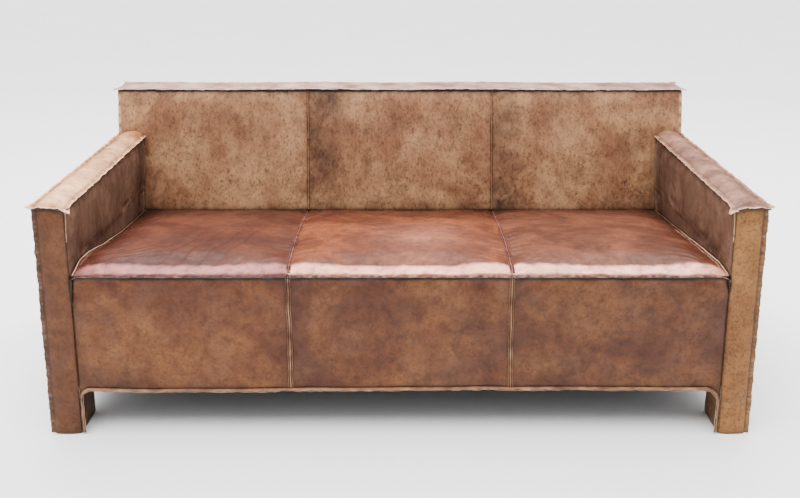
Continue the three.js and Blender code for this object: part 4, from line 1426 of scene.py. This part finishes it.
    cloth = lay_grid(columns, 88, place_back, (0, -1, 0), back_wear_and_shade)
    if panel != "centre":
        cut = []
        for face in cloth.faces:
            middle = face.calc_center_median()
            if abs(middle.x) > ARM_IN - 0.0005 and middle.z < NOTCH_TOP:
                cut.append(face)
        bmesh.ops.delete(cloth, geom=cut, context="FACES")
    cover(f"back_cover_{panel}", cloth, [back_hide, cut_edge], f"back_panel_{panel}")

BACK_RIDGES = (
    [-8, -6, -4.6, -3.4, -1.4, 0, 1.4, 3.4, 4.6, 6, 8],
    [-1.5, 0.4, 1.2, -0.8, 1.6, 2.2, 1.6, -0.8, 1.2, 0.4, -1.5],
)
for side, sign in SIDES.items():

    def back_spine(t):
        z = BACK_LOW + 0.06 + (BACK_HIGH - BACK_LOW - 0.061) * t
        bulge = 0.001 + 0.0015 * near(z - CREASE_TOP - 0.03, 0.05)
        return Vector((sign * BACK_SEAM, back_face(z) - bulge, z))

    seam_strip(
        f"back_seam_{side}", back_spine, lambda t: Vector((0, -1, LEAN)), (0, -1, 0), 110, back_hide,
        160.0 + sign, 0.9, BACK_RIDGES, 0.008, 32,
    )

BOXING_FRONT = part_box("back_top_boxing")[0].y
BOXING_COLUMNS, BOXING_ROWS, RIM_ROWS = 430, 32, 3


def place_boxing(u, v):
    """The strip along the top, with its raw edges standing out at front, rear and both ends."""
    side_share, front_share = RIM_ROWS / BOXING_COLUMNS, RIM_ROWS / BOXING_ROWS
    out = max(0.0, 1 - u / side_share, 1 - (1 - u) / side_share)
    ahead, behind = max(0.0, 1 - v / front_share), max(0.0, 1 - (1 - v) / front_share)
    across = min(1.0, max(0.0, (u - side_share) / (1 - 2 * side_share)))
    deep = min(1.0, max(0.0, (v - front_share) / (1 - 2 * front_share)))
    y = BOXING_FRONT + (REAR - BOXING_FRONT) * deep
    spot = Vector((-ARM_OUT + 2 * ARM_OUT * across, y, BACK_TOP))
    corner = 1 + 0.9 * near(ARM_OUT - abs(spot.x), 0.02) * max(ahead, behind)
    corner += 0.6 * out * near(min(deep, 1 - deep), 0.12)
    wide = (1 + ragged(spot, 170)) * corner
    if out:
        spot.x += (1 if u > 0.5 else -1) * FLANGE * out * wide
    spot.y += (0.0075 * behind - FLANGE * ahead) * wide
    edge = max(out, ahead, behind)
    spot.z += 0.0022 * waver((spot.x, 0, 0), 0.35, 171)
    if edge:
        spot.z += ruffle(spot, 172) * edge * 0.9 - 0.002 * ahead + 0.001 * behind
    else:
        spot.z += 0.0035 * (1 - abs(2 * deep - 1) ** 3) + 0.001 * waver(spot, 0.06, 173)
        spot.z += pucker(spot.x, min(deep, 1 - deep) * 0.106, 0.022, 0.0012, 0.03, 174)
        for seam in BACK_SEAMS:
            spot.z -= 0.0025 * near(spot.x - seam, 0.008)
    return spot


def boxing_wear_shade_and_sheen(u, v, spot):
    # Pale all over and more so at its raw edges: partly rubbing, partly painted sheen on the top
    rubbed_and_sheen = 0.35 + 0.4 * waver(spot, 0.07, 175)
    if v < 0.09 or v > 0.91 or abs(spot.x) > ARM_OUT:
        rubbed_and_sheen = 0.4 + 0.7 * waver(spot, 0.03, 176)
    # Painted shade along the front seam
    painted_shade = 0.5 * near(abs(spot.y - BOXING_FRONT) - 0.001, 0.004)
    soot_and_shade = 0.25 * max(0.0, waver(spot, 0.25, 177))
    # Darker towards the right end
    soot_and_shade += 0.26 * min(1.0, max(0.0, (spot.x + 0.05) / 0.3))
    soot_and_shade += 0.3 * min(near(spot.x - seam, 0.02) for seam in BACK_SEAMS)
    return soot_and_shade, max(0.0, rubbed_and_sheen), painted_shade


cloth = lay_grid(BOXING_COLUMNS, BOXING_ROWS, place_boxing, (0, 0, 1), boxing_wear_shade_and_sheen)
cover(
    "back_boxing_cover", cloth, [boxing_hide, cut_edge], "back_top_boxing",
)
# The back panels' raw top edge under the boxing's, painted near-black as the shade there
raw_flange(
    "back_front_flange",
    lambda t: Vector((-ARM_OUT + 2 * ARM_OUT * t, back_face(BACK_HIGH) - 0.0005, BACK_TOP - 0.0042)),
    straight(0, -1, 0), (0, 0, 1), FLANGE, -0.35, back_hide, (0, 0, -1), 180.0, 560,
    rubbed_and_sheen=0.0, soot_and_shade=0.95, edge=back_hide,
)
raw_flange(
    "back_rear_flange",
    lambda t: Vector((ARM_OUT - 2 * ARM_OUT * t, REAR - 0.001, BACK_TOP - 0.0048)),
    straight(0, 1, 0), (0, 0, 1), 0.0075, -0.35, outside_hide, (0, 0, -1), 184.0, 560,
)

for side, sign in SIDES.items():

    def place_end(u, v):
        z = ARM_TOP + (BACK_HIGH - ARM_TOP - 0.001) * v
        y0, y1 = back_face(z) + 0.003, REAR - 0.003
        spot = Vector((sign * ARM_OUT, y0 + (y1 - y0) * u, z))
        full = min(1, u * 6, (1 - u) * 6, v * 6, (1 - v) * 6)
        spot.x += sign * (0.003 * full + 0.0012 * waver(spot, 0.06, 190 + sign) * full)
        return spot

    def end_wear(u, v, spot):
        return 0.2 * max(0, waver(spot, 0.08, 191)), 0.2 * max(0, waver(spot, 0.06, 192)), 0.0

    cloth = lay_grid(30, 36, place_end, (sign, 0, 0), end_wear)
    cover(
        f"back_end_cover_{side}", cloth, [outside_hide, cut_edge], f"back_end_panel_{side}",
    )

    # Raw edges up the rear corner, from the floor to the top of the back
    faces = (("outer", (sign, -0.6, 0)), ("rear", (-sign * 0.5, 1, 0)))
    for layer, (name, facing) in enumerate(faces):

        def rear_corner(t):
            y = REAR + 0.0006 - 0.003 * (1 - layer)
            return Vector((sign * (ARM_OUT - 0.0006), y, 0.006 + (BACK_HIGH - 0.012) * t))

        raw_flange(
            f"rear_corner_flange_{name}_{side}", rear_corner,
            lambda t: Vector((sign * 0.75, 0.65, 0)).normalized(),
            (sign * 0.6, -0.7, 0), FLANGE, 0.0, outside_hide, facing, 200.0 + layer * 5 + sign, 240,
        )

    def back_side(t):
        z = ARM_TOP + 0.003 + (BACK_HIGH - ARM_TOP - 0.009) * t
        return Vector((sign * (ARM_OUT - 0.0006), back_face(z) + 0.0034, z))

    raw_flange(
        f"back_side_flange_{side}", back_side, lambda t: Vector((sign, -0.25, 0)).normalized(),
        (0, -1, 0), FLANGE, -0.25, back_hide, (0, 1, 0), 206.0 + sign, 60, rubbed_and_sheen=0.5,
    )


def place_outside(u, v):
    x = -(ARM_OUT - 0.002) + 2 * (ARM_OUT - 0.002) * u
    z = UNDERSIDE + (BACK_HIGH - 0.002 - UNDERSIDE) * v
    spot = Vector((x, REAR, z))
    full = min(1, u * 24, (1 - u) * 24, v * 10, (1 - v) * 10)
    out = 0.004 * full + 0.002 * waver(spot, 0.22, 210) * full + 0.0006 * waver(spot, 0.05, 211)
    out += pucker(x, BACK_HIGH - z, 0.026, 0.0012, 0.06, 212)
    out += pucker(x, z - UNDERSIDE, 0.03, 0.0012, 0.05, 213)
    for seam in BACK_SEAMS:
        out -= 0.0035 * near(x - seam, 0.03)
    spot.y += max(0.0, out)
    return spot


def outside_wear_and_shade(u, v, spot):
    # Darker at the bottom and beside the seams; painted shade under the top and along the bottom
    soot_and_shade = 0.25 * near(spot.z - UNDERSIDE, 0.06) + 0.25 * max(0.0, waver(spot, 0.2, 214))
    for seam in BACK_SEAMS:
        soot_and_shade += 0.3 * near(spot.x - seam, 0.05)
    painted_shade = 1.0 * near(BACK_HIGH - 0.004 - spot.z, 0.016) + 0.6 * near(spot.z - UNDERSIDE, 0.012)
    return min(0.7, soot_and_shade), 0.15 * max(0.0, waver(spot, 0.14, 215)), min(1.0, painted_shade)


cloth = lay_grid(290, 104, place_outside, (0, 1, 0), outside_wear_and_shade)
cover(
    "outside_back_cover", cloth, [outside_hide, cut_edge], "outside_back_panel",
)
for side, sign in SIDES.items():

    def outside_spine(t):
        z = UNDERSIDE + 0.003 + (BACK_HIGH - UNDERSIDE - 0.008) * t
        return Vector((sign * BACK_SEAM, REAR + 0.0005, z))

    seam_strip(
        f"outside_back_seam_{side}", outside_spine, lambda t: Vector((0, 1, 0)), (0, 1, 0), 110,
        outside_hide, 220.0 + sign, 0.8,
    )


# Stitching: waxed dark red linen thread, 7 stitches to 50 mm, in rows a few millimetres inside the
# raw edges.
thread = two_toned(
    "waxed_linen_thread", ("#2a100b", "#5a261a"), 500.0, 2.0, 0.5, relief=(0.5, 0.0003)
)
STITCH = 0.0072  # from one stitch to the next
THREAD_RADIUS = 0.0007


def sew(name, line):
    """A row of stitches along a line of points, each lying on the front of the hide."""
    path = runner(line)
    count = max(2, int(length_of([Vector(point) for point in line]) / STITCH))
    mesh = bmesh.new()
    up = Vector((0, -1, 0))
    for number in range(count):
        t = (number + 0.5) / count
        here = path(t)
        run = (path(min(1.0, t + 0.3 / count)) - path(max(0.0, t - 0.3 / count))).normalized()
        across = up.cross(run).normalized()
        made = bmesh.ops.create_uvsphere(mesh, u_segments=6, v_segments=4, radius=1.0)
        for vert in made["verts"]:
            x, y, z = vert.co
            vert.co = here + run * z * STITCH * 0.36 + (across * x + up * y) * THREAD_RADIUS
    make_piece(name, mesh, [thread])


for side, sign in SIDES.items():
    x = sign * (ARM_OUT - 0.003)
    rows = [(x, FRONT - 0.0012, z) for z in np.linspace(0.02, ARM_TOP - 0.03, 40)]
    sew(f"arm_front_stitching_{side}", rows)
    x = sign * (ARM_IN + 0.004)
    sew(f"leg_seam_stitching_{side}", [(x, FRONT - 0.0022, z) for z in np.linspace(0.02, 0.39, 24)])


# Room: a pale floor without an edge in sight, a soft light over the front, a broad one high behind
# that gives the tops their sheen, and a surround that is bright overhead and looks evenly pale.
floor_mesh = bmesh.new()
bmesh.ops.create_grid(floor_mesh, x_segments=1, y_segments=1, size=40.0)
floor_data = bpy.data.meshes.new("floor")
floor_mesh.to_mesh(floor_data)
floor_mesh.free()
floor = bpy.data.objects.new("floor", floor_data)
scene.collection.objects.link(floor)
floor_data.materials.append(two_toned("matt_white_paper", ("#f4f4f4", "#fafafa"), 1.5, 2.0, 0.9))

world = bpy.data.worlds.new("studio")
world.use_nodes = True
tree = world.node_tree
tree.nodes.clear()
direction = add_node(tree, "TexCoord").outputs["Generated"]
height = add_node(tree, "SeparateXYZ", {0: direction}).outputs["Z"]
glow = add_node(tree, "MapRange", {0: height, 1: 0.2, 2: 0.8, 3: 0.08, 4: 2.2}).outputs[0]
seen = add_node(tree, "LightPath").outputs["Is Camera Ray"]
strength = add_node(tree, "Mix", {0: seen, 2: glow, 3: 1.7}, data_type="FLOAT").outputs[0]
backdrop = add_node(tree, "Background", {"Color": linear("#ffffff"), "Strength": strength})
add_node(tree, "OutputWorld", {"Surface": backdrop.outputs[0]})
scene.world = world

for name, power, size, spot, aim in (
    ("front_light", 110, (3.2, 1.6), (-0.6, -2.4, 3.9), (0, 0, 0.4)),
    ("rear_light", 260, (6.0, 1.4), (0, 1.9, 3.7), (0, 0, 0.5)),
):
    data = bpy.data.lights.new(name, "AREA")
    data.shape = "RECTANGLE"
    data.size, data.size_y = size
    data.energy = power
    softbox = bpy.data.objects.new(name, data)
    scene.collection.objects.link(softbox)
    softbox.location = spot
    softbox.rotation_euler = (Vector(aim) - Vector(spot)).to_track_quat("-Z", "Y").to_euler()
    softbox.visible_camera = False
overhead_data = bpy.data.lights.new("overhead_light", "SUN")
overhead_data.energy = 4.2
overhead_data.angle = math.radians(60)
overhead = bpy.data.objects.new("overhead_light", overhead_data)
scene.collection.objects.link(overhead)
overhead.rotation_euler = (math.radians(9), math.radians(-8), 0)

camera_data = bpy.data.cameras.new("camera")
camera_data.sensor_width = 36
camera_data.lens = 42.6
camera_data.shift_y = -0.15
camera = bpy.data.objects.new("camera", camera_data)
scene.collection.objects.link(camera)
camera.location = (0, -2.922, 1.48)
camera.rotation_euler = (math.radians(90 - 13.363), 0, 0)
scene.camera = camera
